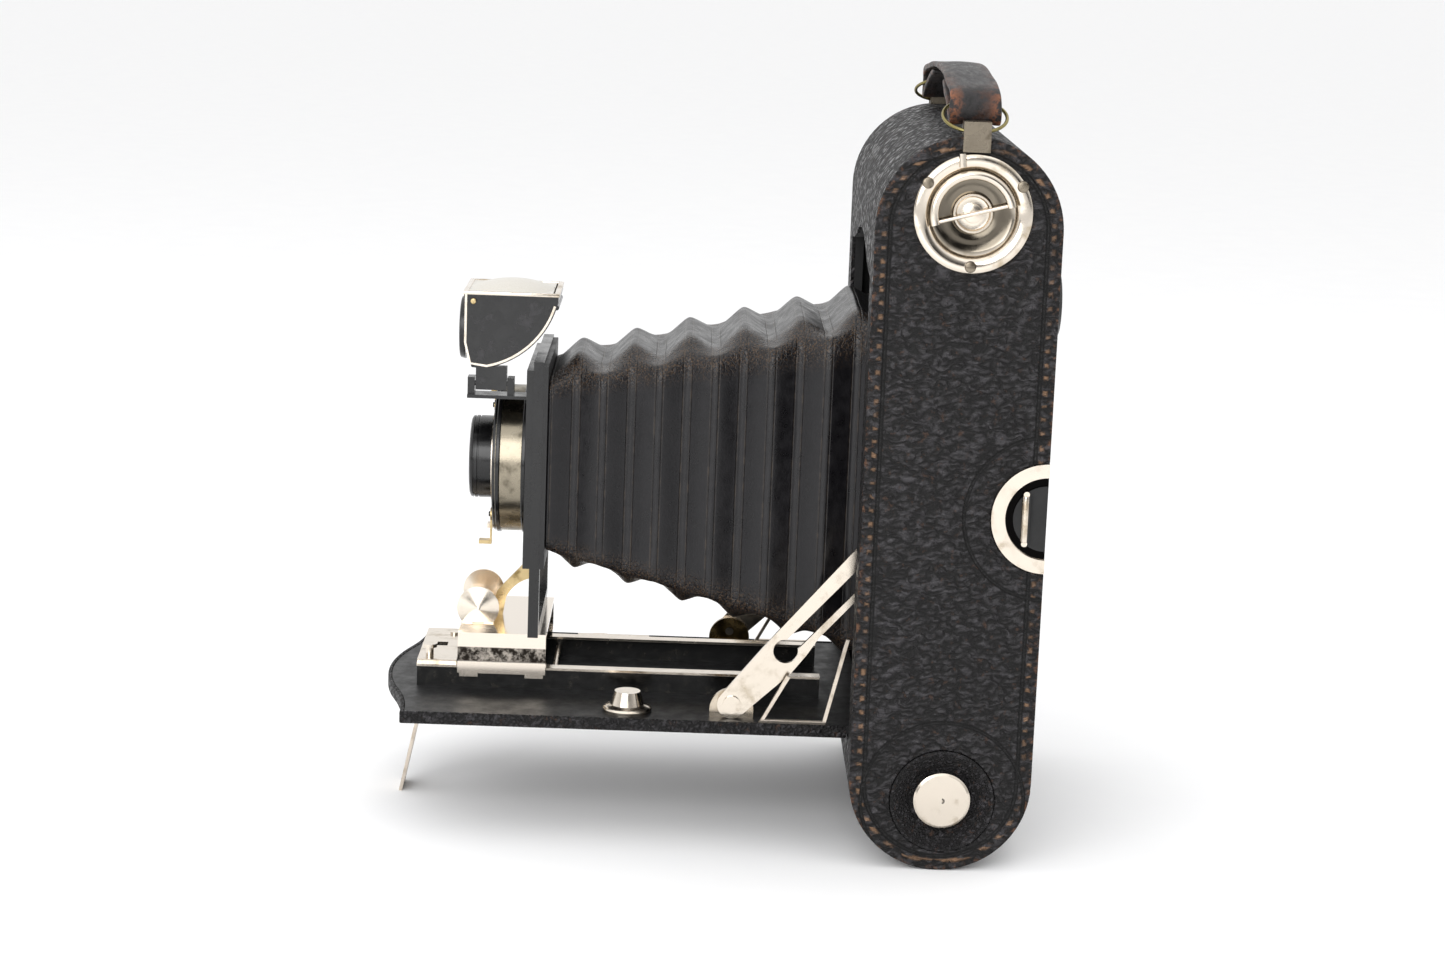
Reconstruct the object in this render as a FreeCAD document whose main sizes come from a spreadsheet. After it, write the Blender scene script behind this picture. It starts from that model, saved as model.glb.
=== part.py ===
"""Folding roll-film pocket camera, standing open on its end.

Millimetres, +Z up along the tall side of the case.  The lens looks along -Y, the winding key is on +X.
Every depth below is counted from the middle of the case's thickness and every height from the floor,
and the origin is on the floor under the middle of the whole camera.
"""
import FreeCAD, Part
import math
import os
import re
import Sketcher

SIZES = {
    # case
    "body_height": 194.0, "body_width": 118.0, "body_depth": 48.0, "leather": 1.0,
    "shell_wall": 2.4, "side_wall": 4.0, "cover_lip": 1.5, "cover_sheet": 1.4, "cover_margin": 26.0,
    "opening_width": 92.0, "opening_sill": 30.6, "opening_top": 156.0, "opening_bow": 7.5,
    "slip": 0.15, "running": 0.06, "shelf": 1.2,
    # bed
    "bed_width": 91.0, "bed_length": 120.0, "bed_bow": 7.3, "bed_under": 31.4, "bed_sheet": 2.1,
    "edging": 1.0, "edging_rise": 0.3, "hinge_pin": 0.6,
    # rails and carriage
    "rail_half": 17.5, "rail_rise": 6.5, "rail_sheet": 0.8, "flange_out": 1.8, "flange_in": 2.0,
    "rail_front": 142.0, "rail_rear": 31.0, "carriage_top": 51.0,
    "carriage_front": 130.6, "carriage_rear": 106.5, "carriage_sheet": 1.2,
    # standard, lens board and bellows
    "standard_half": 25.5, "standard_top": 127.0, "standard_bar": 3.0, "standard_back": 108.6,
    "standard_depth": 2.8, "lens_height": 96.0, "board_sheet": 1.9, "frame_sheet": 1.2,
    "bellows_front_half": 25.0, "bellows_front_low": 72.0, "bellows_front_high": 125.0,
    "bellows_rear_half": 42.5, "bellows_rear_low": 43.0, "bellows_rear_high": 150.5, "bellows_wall": 4.5,
    "gate_front": 13.0, "gate_sheet": 2.0, "gate_half": 41.0, "gate_low": 47.0, "gate_high": 147.0,
    # shutter and lens
    "drum_radius": 20.3, "drum_length": 8.4, "case_sheet": 1.0, "face_sheet": 0.8,
    "barrel_radius": 11.4, "neck_radius": 10.0, "barrel_reach": 16.1, "neck_reach": 10.3,
    "lens_radius": 8.5, "lever_sheet": 0.5, "lever_offset": 14.6,
    # finder
    "finder_half": 13.0, "finder_across": 6.0, "finder_front": 131.0, "finder_sheet": 0.8,
    "finder_pivot_across": 17.5, "finder_lens_radius": 7.6,
    # struts and leg
    "strut_inner": 40.0, "strut_sheet": 1.2, "strut_pivot_front": 55.4, "strut_pivot_up": 38.5,
    "strut_angle": 47.7, "strut_reach": 57.3, "strut_stud": 1.6, "slot_half": 2.0, "strut_hole": 3.3,
    "leg_pivot_front": 141.0, "leg_pivot_drop": 1.4, "leg_half": 5.0, "leg_sheet": 0.9, "leg_lean": 6.3,
    # film handling
    "spool_across": 45.0, "spool_core": 5.0, "spool_flange": 8.8, "film_half": 41.5,
    "spool_back": 0.7, "take_up_high": 174.4, "supply_high": 19.0, "stud_radius": 2.0,
    "roller_radius": 2.8, "roller_pin": 1.2, "roller_back": 18.2, "roller_low": 38.0, "roller_high": 157.0,
    # winding key and loading knob
    "key_radius": 15.3, "key_dish": 11.2, "key_depth": 2.5, "hub_radius": 5.1, "shaft_radius": 4.0,
    "bail_outer": 11.0, "bail_inner": 8.9, "bail_pin": 0.55, "bail_tilt": 15.0,
    "cup_radius": 13.7, "knob_radius": 7.5,
    # back, window and catches
    "window_across": 36.0, "window_up": 149.0, "window_radius": 9.0, "window_rise": 2.5,
    "catch_radius": 14.5, "catch_inner": 10.9, "catch_up": 96.0,
    # tripod bush
    "scale_across": 38.0, "scale_half": 5.0,
    "bush_across": 36.0, "bush_front": 83.5, "bush_flange": 6.4, "bush_shank": 4.95, "thread_radius": 3.175,
    # carrying strap
    "strap_half_width": 6.5, "tab_half": 3.5, "ring_radius": 8.2, "ring_wire": 0.45, "ring_lean": 65.0,
    "ring_foot_across": 57.1, "ring_foot_rise": 0.9,
}

# sizes that follow from the ones above
DERIVED = {
    "carriage_half": "(rail_half + 4.5)",
    "finder_pivot_up": "(lens_height + drum_radius + 3.2)",
    "finder_floor": "(lens_height + drum_radius + 7.4)",
    "finder_top": "(lens_height + drum_radius + 27.9)",
    "finder_left": "(finder_across - finder_half)",
    "finder_right": "(finder_across + finder_half)",
}

MIDDLE = "(bed_length + bed_bow - window_rise) / 2"
SHELL_HALF = "body_width / 2 - leather"
FACE = "body_width / 2"
FRONT = "-body_depth / 2"
BACK = "body_depth / 2"
BED_TOP = "bed_under + edging + bed_sheet"
RAIL_TOP = "bed_under + edging + bed_sheet + rail_rise"
STANDARD_FRONT = "-standard_back - standard_depth"
DRUM_BACK = "-standard_back - standard_depth - board_sheet"
DRUM_FRONT = "-standard_back - standard_depth - board_sheet - drum_length"
FACE_FRONT = "-standard_back - standard_depth - board_sheet - drum_length - face_sheet"

doc = FreeCAD.newDocument("FoldingCamera")
PIECES = []
WORD = re.compile(r"[a-z][a-z_0-9]*")


def make_sheet():
    """The driving dimensions, one aliased cell each."""
    sheet = doc.addObject("Spreadsheet::Sheet", "Dims")
    for row, (alias, size) in enumerate(SIZES.items(), start=1):
        sheet.set("A%d" % row, alias)
        sheet.set("B%d" % row, str(size))
        sheet.setAlias("B%d" % row, alias)
    doc.recompute()
    return sheet


SHEET = make_sheet()


def formula(text):
    """The same formula with each named size pointing at the sheet."""
    text = WORD.sub(lambda word: DERIVED.get(word.group(), word.group()), str(text))
    return WORD.sub(lambda word: "Dims." + word.group() if word.group() in SIZES else word.group(), text)


def size(text):
    """The number that a formula gives now."""
    return float(SHEET.evalExpression(formula(text)))


def bind(thing, formulas):
    for prop, text in formulas.items():
        thing.setExpression(prop, formula(text))


def put(thing, across=0, back=0, up=0):
    """Place a thing by its distance across, behind the case's middle and above the floor."""
    bind(thing, {"Placement.Base.x": "0 + %s" % across, "Placement.Base.y": "%s + (%s)" % (MIDDLE, back),
                 "Placement.Base.z": "0 + %s" % up})


def turn(thing, axis, angle):
    """Turn a thing about one of the main directions by a named angle."""
    thing.Placement = FreeCAD.Placement(FreeCAD.Vector(), FreeCAD.Rotation(FreeCAD.Vector(*axis), 1))
    bind(thing, {"Placement.Rotation.Angle": angle})


# ---------------------------------------------------------------- plain solids and booleans
def box(x, y, z):
    """A block given by its two limits across, front to back and up."""
    block = doc.addObject("Part::Box", "Block")
    for side, (low, high) in zip(("Length", "Width", "Height"), (x, y, z)):
        bind(block, {side: "(%s) - (%s)" % (high, low)})
    put(block, "(%s)" % x[0], y[0], "(%s)" % z[0])
    return block


def rod(axis, radius, span, place):
    """A round bar along X, Y or Z; place gives its two other coordinates, in order."""
    bar = doc.addObject("Part::Cylinder", "Rod")
    bind(bar, {"Radius": radius, "Height": "(%s) - (%s)" % (span[1], span[0])})
    first, second = place
    if axis == "X":
        bar.Placement.Rotation = FreeCAD.Rotation(FreeCAD.Vector(0, 1, 0), 90)
        put(bar, "(%s)" % span[0], first, "(%s)" % second)
    elif axis == "Y":
        bar.Placement.Rotation = FreeCAD.Rotation(FreeCAD.Vector(1, 0, 0), -90)
        put(bar, "(%s)" % first, span[0], "(%s)" % second)
    else:
        put(bar, "(%s)" % first, second, "(%s)" % span[0])
    return bar


def join(*things):
    whole = doc.addObject("Part::MultiFuse", "Join")
    whole.Shapes = list(things)
    return whole


def cut(base, *tools):
    rest = doc.addObject("Part::Cut", "Cut")
    rest.Base = base
    rest.Tool = tools[0] if len(tools) == 1 else join(*tools)
    return rest


def common(first, second):
    shared = doc.addObject("Part::MultiCommon", "Common")
    shared.Shapes = [first, second]
    return shared


def group(*things):
    """Separate solids kept together under one name."""
    together = doc.addObject("Part::Compound", "Group")
    together.Links = list(things)
    return together


def mirrored(thing):
    """The same thing on the other side of the camera."""
    twin = doc.addObject("Part::Mirroring", "Twin")
    twin.Source = thing
    twin.Normal = FreeCAD.Vector(1, 0, 0)
    return twin


def stadium(radius, half):
    """A bar with round ends, as tall as the case, given its end radius and half its width."""
    middle = box(("-(%s)" % half, half), ("-(%s)" % radius, radius), ("body_depth / 2", "body_height - body_depth / 2"))
    foot = rod("X", radius, ("-(%s)" % half, half), ("0", "body_depth / 2"))
    head = rod("X", radius, ("-(%s)" % half, half), ("0", "body_height - body_depth / 2"))
    return join(middle, foot, head)


def piece(name, thing):
    """Name a finished sub-part."""
    thing.Label = name
    PIECES.append(thing)
    return thing


# ---------------------------------------------------------------- sketched solids
def arc_between(start, end, radius, side):
    """The short arc from start to end, bending left (1) or right (-1) of the way there."""
    half = (end - start) * 0.5
    rise = math.sqrt(max(radius * radius - half.Length ** 2, 0.0))
    centre = start + half + FreeCAD.Vector(-half.y, half.x, 0).normalize() * rise * side
    angles = [math.atan2(p.y - centre.y, p.x - centre.x) for p in ((start, end) if side > 0 else (end, start))]
    if angles[1] < angles[0]:
        angles[1] += 2 * math.pi
    return Part.ArcOfCircle(Part.Circle(centre, FreeCAD.Vector(0, 0, 1), radius), *angles)


def sketch(body, plane, corners):
    """A closed outline on one of the body's own planes.

    Each corner is (across, up), or (across, up, radius, side) where an arc runs on to the next corner.
    """
    outline = body.newObject("Sketcher::SketchObject", "Outline")
    role = plane + "_Plane"
    outline.AttachmentSupport = [(next(o for o in body.Origin.OriginFeatures if o.Role == role), "")]
    outline.MapMode = "FlatFace"
    points = [FreeCAD.Vector(size(c[0]), size(c[1]), 0) for c in corners]
    ends = []
    for index, corner in enumerate(corners):
        start, end = points[index], points[(index + 1) % len(points)]
        if len(corner) == 2:
            edge = outline.addGeometry(Part.LineSegment(start, end), False)
            ends.append((edge, 1, 2))
            continue
        edge = outline.addGeometry(arc_between(start, end, size(corner[2]), corner[3]), False)
        ends.append((edge, 1, 2) if corner[3] > 0 else (edge, 2, 1))
    for index, (edge, start, end) in enumerate(ends):
        following = ends[(index + 1) % len(ends)]
        outline.addConstraint(Sketcher.Constraint("Coincident", edge, end, following[0], following[1]))
        for kind, text, number in (("DistanceX", corners[index][0], points[index].x),
                                   ("DistanceY", corners[index][1], points[index].y)):
            rule = outline.addConstraint(Sketcher.Constraint(kind, edge, start, number))
            outline.setExpression("Constraints[%d]" % rule, formula("0 + %s" % text))
    for index, corner in enumerate(corners):
        if len(corner) > 2:
            rule = outline.addConstraint(Sketcher.Constraint("Radius", ends[index][0], size(corner[2])))
            outline.setExpression("Constraints[%d]" % rule, formula(corner[2]))
    return outline


def plate(plane, corners, span):
    """A flat piece of a sketched outline; span gives its two limits along the third direction."""
    body = doc.addObject("PartDesign::Body", "Plate")
    pad = body.newObject("PartDesign::Pad", "Pad")
    pad.Profile = sketch(body, plane, corners)
    pad.Midplane = True
    bind(pad, {"Length": "(%s) - (%s)" % (span[1], span[0])})
    half_way = "((%s) + (%s)) / 2" % span
    put(body, **{{"YZ": "across", "XZ": "back", "XY": "up"}[plane]: half_way})
    return body


def turned(axis, corners, across=0, back=0, up=0):
    """A round piece; corners are (distance along the axis, radius)."""
    body = doc.addObject("PartDesign::Body", "Turned")
    plane = {"X": "XZ", "Y": "YZ", "Z": "XZ"}[axis]
    if axis == "Z":
        corners = [(corner[1], corner[0]) + tuple(corner[2:]) for corner in corners]
    outline = sketch(body, plane, corners)
    spin = body.newObject("PartDesign::Revolution", "Spin")
    spin.Profile = outline
    spin.ReferenceAxis = (outline, ["V_Axis" if axis == "Z" else "H_Axis"])
    spin.Angle = 360
    put(body, across, back, up)
    return body


def ogee(half, near, bow):
    """Corners of an outline's bowed end, from +half to -half, standing out by bow in the middle."""
    radius = "(((%s) / 2)^2 + ((%s) / 2)^2) / abs(%s)" % (half, bow, bow)
    middle = "(%s) + (%s) / 2" % (near, bow)
    side = -1 if bow.startswith("-") else 1
    return [(half, near, radius, -side), ("(%s) / 2" % half, middle, radius, side),
            ("-(%s) / 2" % half, middle, radius, -side), ("-(%s)" % half, near)]


# ---------------------------------------------------------------- case
def rail_profile():
    """Section of one slide rail: a wall with a flange along its top, on the +X side."""
    return [("rail_half - rail_sheet", BED_TOP), ("rail_half", BED_TOP),
            ("rail_half", RAIL_TOP + " - rail_sheet"), ("rail_half + flange_out", RAIL_TOP + " - rail_sheet"),
            ("rail_half + flange_out", RAIL_TOP), ("rail_half - flange_in", RAIL_TOP),
            ("rail_half - flange_in", RAIL_TOP + " - rail_sheet"),
            ("rail_half - rail_sheet", RAIL_TOP + " - rail_sheet")]


def case_openings():
    """What is taken out of the shell and of the leather round it."""
    half = "opening_width / 2"
    front = plate("XZ", [("-opening_width / 2", "opening_sill"), (half, "opening_sill")]
                  + ogee(half, "opening_top", "opening_bow"), (FRONT + " - 2", FRONT + " + leather + shell_wall + 2"))
    lip = "body_width / 2 - leather - cover_lip"
    rebate = box(("-(%s)" % lip, lip), ("body_depth / 2 - leather - cover_sheet", "body_depth / 2 + 2"),
                 ("cover_margin", "body_height - cover_margin"))
    return front, rebate


def key_hole(radius, low):
    return rod("X", radius, (low, FACE + " + 2"), ("spool_back", "take_up_high"))


def body_shell():
    hollow_half = "body_width / 2 - leather - side_wall"
    outer = stadium("body_depth / 2 - leather", SHELL_HALF)
    hollow = stadium("body_depth / 2 - leather - shell_wall", hollow_half)
    front, rebate = case_openings()
    back = box(("-body_width / 2 + leather + side_wall", hollow_half), ("body_depth / 4", BACK),
               ("cover_margin + 4", "body_height - cover_margin - 4"))
    cup_recess = rod("X", "cup_radius + slip", ("body_width / 2 - leather - 2.8", FACE), ("spool_back", "supply_high"))
    knob_bore = rod("X", "stud_radius + running", ("0", FACE), ("spool_back", "supply_high"))
    key_bore = key_hole("shaft_radius + running", "0")
    dish_recess = key_hole("key_dish + 0.8", "body_width / 2 - key_depth - 0.1")
    rollers = [rod("X", "roller_pin + running", ("-body_width / 2 + leather + 2", "body_width / 2 - leather - 2"),
                   ("roller_back", height)) for height in ("roller_low", "roller_high")]
    hinge = rod("X", "hinge_pin + running", ("-opening_width / 2 - 3.2", "opening_width / 2 + 3.2"),
                (FRONT + " + leather + 1.8", "bed_under + edging + bed_sheet / 2"))
    walls = cut(outer, hollow, front, rebate, back, cup_recess, knob_bore, key_bore, dish_recess, hinge, *rollers)
    shelf_low = box(("-(%s)" % hollow_half, hollow_half), (FRONT + " + leather + 4.1", "gate_front"),
                    (BED_TOP + " - shelf", BED_TOP))
    shelf_high = box(("-(%s)" % hollow_half, hollow_half), (FRONT + " + leather + 4.1", "gate_front"),
                     ("opening_top + opening_bow + 0.3", "opening_top + opening_bow + 0.3 + shelf"))
    studs = [rod("X", "stud_radius", ("-(%s)" % hollow_half, "-spool_across + 4"), ("spool_back", height))
             for height in ("take_up_high", "supply_high")]
    piece("body_shell", join(walls, shelf_low, shelf_high, *studs))


def leathers():
    front, rebate = case_openings()
    ring = cut(stadium("body_depth / 2", SHELL_HALF), stadium("body_depth / 2 - leather", SHELL_HALF))
    piece("wrap_leather", cut(ring, front, rebate))
    sheet = common(stadium("body_depth / 2", FACE), box((SHELL_HALF, FACE), (FRONT, BACK), ("0", "body_height")))
    latch = rod("X", "catch_radius + slip", ("body_width / 4", FACE + " + 1"), (BACK, "catch_up"))
    cup = rod("X", "cup_radius + slip", ("body_width / 4", FACE + " + 1"), ("spool_back", "supply_high"))
    far = cut(mirrored(sheet), mirrored(latch))
    near = cut(sheet, latch, cup, key_hole("key_dish + 0.8", "body_width / 4"))
    piece("side_leathers", group(near, far))


def film_gate():
    half = "body_width / 2 - leather - side_wall"
    panel = box(("-(%s)" % half, half), ("gate_front", "gate_front + gate_sheet"),
                (BED_TOP + " - shelf", "opening_top + opening_bow"))
    ring = box(("-gate_half - 4.5", "gate_half + 4.5"), ("gate_front - 1.5", "gate_front"),
               ("gate_low - 6", "gate_high + 6"))
    window = box(("-gate_half", "gate_half"), ("0", "gate_front + gate_sheet + 1"), ("gate_low", "gate_high"))
    piece("film_gate", cut(join(panel, ring), window))


def guide_rollers():
    for name, height in (("roller_bottom", "roller_low"), ("roller_top", "roller_high")):
        barrel = rod("X", "roller_radius", ("-body_width / 2 + leather + side_wall + 1.5",
                                            "body_width / 2 - leather - side_wall - 1.5"), ("roller_back", height))
        pin = rod("X", "roller_pin", ("-body_width / 2 + leather + 2.5", "body_width / 2 - leather - 2.5"),
                  ("roller_back", height))
        piece(name, join(barrel, pin))


def back_cover():
    half = "body_width / 2 - leather - cover_lip - slip"
    rise = ("cover_margin + slip", "body_height - cover_margin - slip")
    hole = rod("Y", "window_radius - 1", ("0", BACK + " + 1"), ("window_across", "window_up"))
    sheet = box(("-(%s)" % half, half), ("body_depth / 2 - leather - cover_sheet", "body_depth / 2 - leather"), rise)
    skin = box(("-(%s)" % half, half), ("body_depth / 2 - leather", BACK), rise)
    piece("back_cover", cut(sheet, hole))
    piece("back_leather", cut(skin, hole))
    ring = turned("Y", [("0", "window_radius - 2.5"), ("0", "window_radius"), ("window_rise - 0.8", "window_radius"),
                        ("window_rise", "window_radius - 0.8"), ("window_rise", "window_radius - 2.5")],
                  across="window_across", back=BACK, up="window_up")
    rivets = [rod("Y", "1.7", (BACK, BACK + " + 1.1"), ("window_across", "window_up + %s" % offset))
              for offset in ("14", "-13")]
    piece("window_bezel", group(ring, *rivets))
    piece("ruby_glass", rod("Y", "window_radius - 1.1", (BACK + " - leather - cover_sheet + 0.2", BACK + " - leather"),
                            ("window_across", "window_up")))


# ---------------------------------------------------------------- side fittings
def winding_key():
    plate_ring = turned("X", [("-key_depth", "shaft_radius + running"), ("-key_depth", "key_dish + 0.7"),
                              ("0", "key_dish + 0.7"), ("0", "key_radius"), ("0.7", "key_radius"),
                              ("0.9", "key_radius - 0.4"), ("0.9", "key_dish + 0.4"), ("0.4", "key_dish"),
                              ("0.7 - key_depth", "key_dish"), ("0.7 - key_depth", "shaft_radius + running")],
                        across=FACE, back="spool_back", up="take_up_high")
    lug = box((FACE + " + 0.8", FACE + " + 2.2"), ("spool_back - 4.3", "spool_back - 2.4"),
              ("take_up_high + key_radius - 3.6", "take_up_high + key_radius + 0.2"))
    screws = ((-11.9, 7.6), (12.2, 7.4), (-0.1, -13.4))
    holes = [rod("X", "1.55", (FACE + " - 0.5", FACE + " + 2"),
                 ("spool_back + (%s)" % across, "take_up_high + (%s)" % up)) for across, up in screws]
    piece("key_plate", cut(join(plate_ring, lug), *holes))
    heads = [rod("X", "1.5", (FACE, FACE + " + 1.3"),
                 ("spool_back + (%s)" % across, "take_up_high + (%s)" % up)) for across, up in screws]
    piece("key_plate_screws", group(*heads))
    shaft = rod("X", "shaft_radius", ("spool_across + 0.2", FACE + " - key_depth + 1"), ("spool_back", "take_up_high"))
    hub = rod("X", "hub_radius", (FACE + " - key_depth + 1", FACE + " + 1.2"), ("spool_back", "take_up_high"))
    button = rod("X", "hub_radius - 2.9", (FACE + " + 1.2", FACE + " + 1.6"), ("spool_back", "take_up_high"))
    tongue = box(("spool_across - 4", "spool_across + 0.2"), ("spool_back - 0.8", "spool_back + 0.8"),
                 ("take_up_high - 3", "take_up_high + 3"))
    pin_hole = doc.addObject("Part::Cylinder", "PinHole")
    lay_bail_pin(pin_hole, "bail_pin + running")
    piece("winding_hub", cut(join(shaft, hub, button, tongue), pin_hole))


def lay_bail_pin(pin, radius):
    """Set a cylinder along the bail's pin, which crosses the hub at a tilt."""
    bind(pin, {"Radius": radius, "Height": "2 * bail_inner + 0.6"})
    tilt = FreeCAD.Rotation(FreeCAD.Vector(1, 0, 0), size("bail_tilt") - 90)
    pin.Placement = FreeCAD.Placement(FreeCAD.Vector(), tilt)
    reach = "(bail_inner + 0.3)"
    put(pin, FACE + " + 0.1", "spool_back - %s * cos(bail_tilt)" % reach, "take_up_high - %s * sin(bail_tilt)" % reach)


def winding_bail():
    ring = turned("X", [("-0.5", "bail_inner"), ("-0.5", "bail_outer"), ("0.5", "bail_outer"), ("0.5", "bail_inner")],
                  across=FACE + " + 0.1", back="spool_back", up="take_up_high")
    keep = doc.addObject("Part::Box", "UpperHalf")
    bind(keep, {"Length": "4", "Width": "3 * bail_outer", "Height": "2 * bail_outer"})
    tilt = math.radians(size("bail_tilt"))
    keep.Placement = FreeCAD.Placement(FreeCAD.Vector(), FreeCAD.Rotation(FreeCAD.Vector(1, 0, 0), math.degrees(tilt)))
    put(keep, FACE + " - 2", "spool_back - 1.5 * bail_outer * cos(bail_tilt) + 0.9 * sin(bail_tilt)",
        "take_up_high - 1.5 * bail_outer * sin(bail_tilt) - 0.9 * cos(bail_tilt)")
    pin = doc.addObject("Part::Cylinder", "BailPin")
    lay_bail_pin(pin, "bail_pin")
    piece("winding_bail", join(common(ring, keep), pin))


def spools():
    for name, height in (("take_up_spool", "take_up_high"), ("supply_spool", "supply_high")):
        core = rod("X", "spool_core", ("-spool_across", "spool_across"), ("spool_back", height))
        flanges = [rod("X", "spool_flange", span, ("spool_back", height))
                   for span in (("film_half", "film_half + 0.8"), ("-film_half - 0.8", "-film_half"))]
        far = rod("X", "stud_radius + running", ("-spool_across - 1", "-spool_across + 4.3"), ("spool_back", height))
        if name == "take_up_spool":
            near = box(("spool_across - 4.2", "spool_across + 1"), ("spool_back - 0.9", "spool_back + 0.9"),
                       (height + " - 3.1", height + " + 3.1"))
        else:
            near = rod("X", "stud_radius + running", ("spool_across - 3.8", "spool_across + 1"),
                       ("spool_back", height))
        piece(name, cut(join(core, *flanges), far, near))


def loading_knob():
    depth = "leather + 2.7"
    dish = turned("X", [("-(%s)" % depth, "stud_radius + running"), ("-(%s)" % depth, "9"), ("-0.8", "cup_radius"),
                        ("0.2", "cup_radius"), ("0.2", "cup_radius - 0.7"), ("-(%s) + 1" % depth, "8.6"),
                        ("-(%s) + 0.8" % depth, "stud_radius + running")],
                  across=FACE, back="spool_back", up="supply_high")
    piece("knob_cup", dish)
    knob = turned("X", [("-1.4", "0"), ("-1.4", "knob_radius"), ("-0.6", "knob_radius"), ("-0.2", "knob_radius - 0.6"),
                        ("0", "0")], across=FACE, back="spool_back", up="supply_high")
    stem = rod("X", "stud_radius", ("spool_across - 3.4", FACE + " - 1.4"), ("spool_back", "supply_high"))
    piece("supply_knob", join(knob, stem))


def catches():
    half = box((SHELL_HALF, FACE + " + 2"), ("0", BACK), ("0", "body_height"))
    disc = rod("X", "catch_radius", (SHELL_HALF, FACE + " + 0.4"), (BACK, "catch_up"))
    recess = rod("X", "catch_inner", (SHELL_HALF + " + 0.4", FACE + " + 2"), (BACK, "catch_up"))
    near = common(cut(disc, recess), half)
    piece("catch_plates", group(near, mirrored(near)))
    slide_plate = rod("X", "catch_inner - 2.3", (SHELL_HALF + " + 0.5", SHELL_HALF + " + 1.1"), (BACK + " - 0.2", "catch_up"))
    bar = box((SHELL_HALF + " + 1.1", FACE + " + 1.4"), (BACK + " - 6.4", BACK + " - 4.6"), ("catch_up - 6", "catch_up + 6"))
    limit = box((SHELL_HALF, FACE + " + 3"), ("0", BACK + " - 0.2"), ("0", "body_height"))
    catch = common(join(slide_plate, bar), limit)
    far = mirrored(catch)
    piece("catch_near", catch)
    piece("catch_far", far)


# ---------------------------------------------------------------- drop bed
def bed_outline(half, rear, corner, bow):
    return [(half, rear)] + ogee(half, corner, bow) + [("-(%s)" % half, rear)]


def bush_hole():
    return rod("Z", "bush_shank + 0.05", ("bed_under - 2", BED_TOP + " + 2"), ("bush_across", "-bush_front"))


def bed():
    inset = "bed_width / 2 - edging"
    corner = FRONT + " - bed_length"
    rear = FRONT + " - 0.6"
    tray = plate("XY", bed_outline("bed_width / 2", rear, corner, "-bed_bow"),
                 ("bed_under", BED_TOP + " + edging_rise"))
    pocket = plate("XY", bed_outline(inset, rear + " + 1", corner + " + edging", "-bed_bow"),
                   ("bed_under + edging", BED_TOP + " + 1"))
    piece("bed_leather", cut(tray, pocket, bush_hole()))
    panel = plate("XY", bed_outline(inset + " - 0.1", FRONT + " + leather + 3", corner + " + edging + 0.1", "-bed_bow"),
                  ("bed_under + edging", BED_TOP))
    axle = (FRONT + " + leather + 1.8", "bed_under + edging + bed_sheet / 2")
    bore = rod("X", "hinge_pin + running", ("-bed_width", "bed_width"), axle)
    piece("bed_panel", cut(panel, bore, bush_hole()))
    piece("hinge_rod", rod("X", "hinge_pin", ("-opening_width / 2 - 3", "opening_width / 2 + 3"), axle))


def rails():
    outer = plate_rail("-rail_front", "-rail_rear")
    inner = plate_rail(FRONT + " + leather + 4.1", "gate_front - 6")
    piece("rails", group(outer, mirrored(outer), inner, mirrored(inner)))
    piece("cross_rod", rod("X", "0.7", ("-rail_half + rail_sheet", "rail_half - rail_sheet"),
                           ("-carriage_rear + 2", BED_TOP + " + rail_rise / 2")))
    stop = box(("-rail_half", "rail_half"), ("-rail_front", "-carriage_front - 0.6"), (RAIL_TOP, RAIL_TOP + " + 0.9"))
    window = box(("-2", "2"), ("-rail_front + 4", "-rail_front + 7"), (RAIL_TOP + " - 1", RAIL_TOP + " + 2"))
    stud = rod("Z", "1.1", (RAIL_TOP + " + 0.9", RAIL_TOP + " + 3.2"), ("rail_half - 5", "-rail_front + 3"))
    head = rod("Z", "2", (RAIL_TOP + " + 3.2", RAIL_TOP + " + 4.2"), ("rail_half - 5", "-rail_front + 3"))
    screw = rod("Z", "1.3", (RAIL_TOP + " + 0.9", RAIL_TOP + " + 1.5"), ("-rail_half + 6", "-rail_front + 8"))
    piece("front_stop_plate", join(cut(stop, window), stud, head, screw))


def plate_rail(front, rear):
    return plate("XZ", rail_profile(), (front, rear))


def bed_fittings():
    plate_top = BED_TOP + " + 0.8"
    scale = box(("-scale_across - scale_half", "-scale_across + scale_half"),
                ("-bush_front - 16.5", "-bush_front + 4.5"), (BED_TOP, plate_top))
    disc = rod("Z", "3.4", (plate_top, BED_TOP + " + 1.5"), ("-scale_across", "-bush_front - 10"))
    piece("focus_scale", join(scale, disc))
    bush = turned("Z", [("bed_under - 0.2", "thread_radius"), ("bed_under - 0.2", "bush_shank"),
                        (BED_TOP, "bush_shank"), (BED_TOP, "bush_flange"), (BED_TOP + " + 0.8", "bush_flange"),
                        (BED_TOP + " + 0.8", "bush_shank"), (BED_TOP + " + 5.5", "thread_radius + 0.3"),
                        (BED_TOP + " + 5.5", "0"), (BED_TOP + " + 3.8", "0"), (BED_TOP + " + 3.8", "thread_radius")],
                  across="bush_across", back="-bush_front")
    piece("tripod_bush", bush)


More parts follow.
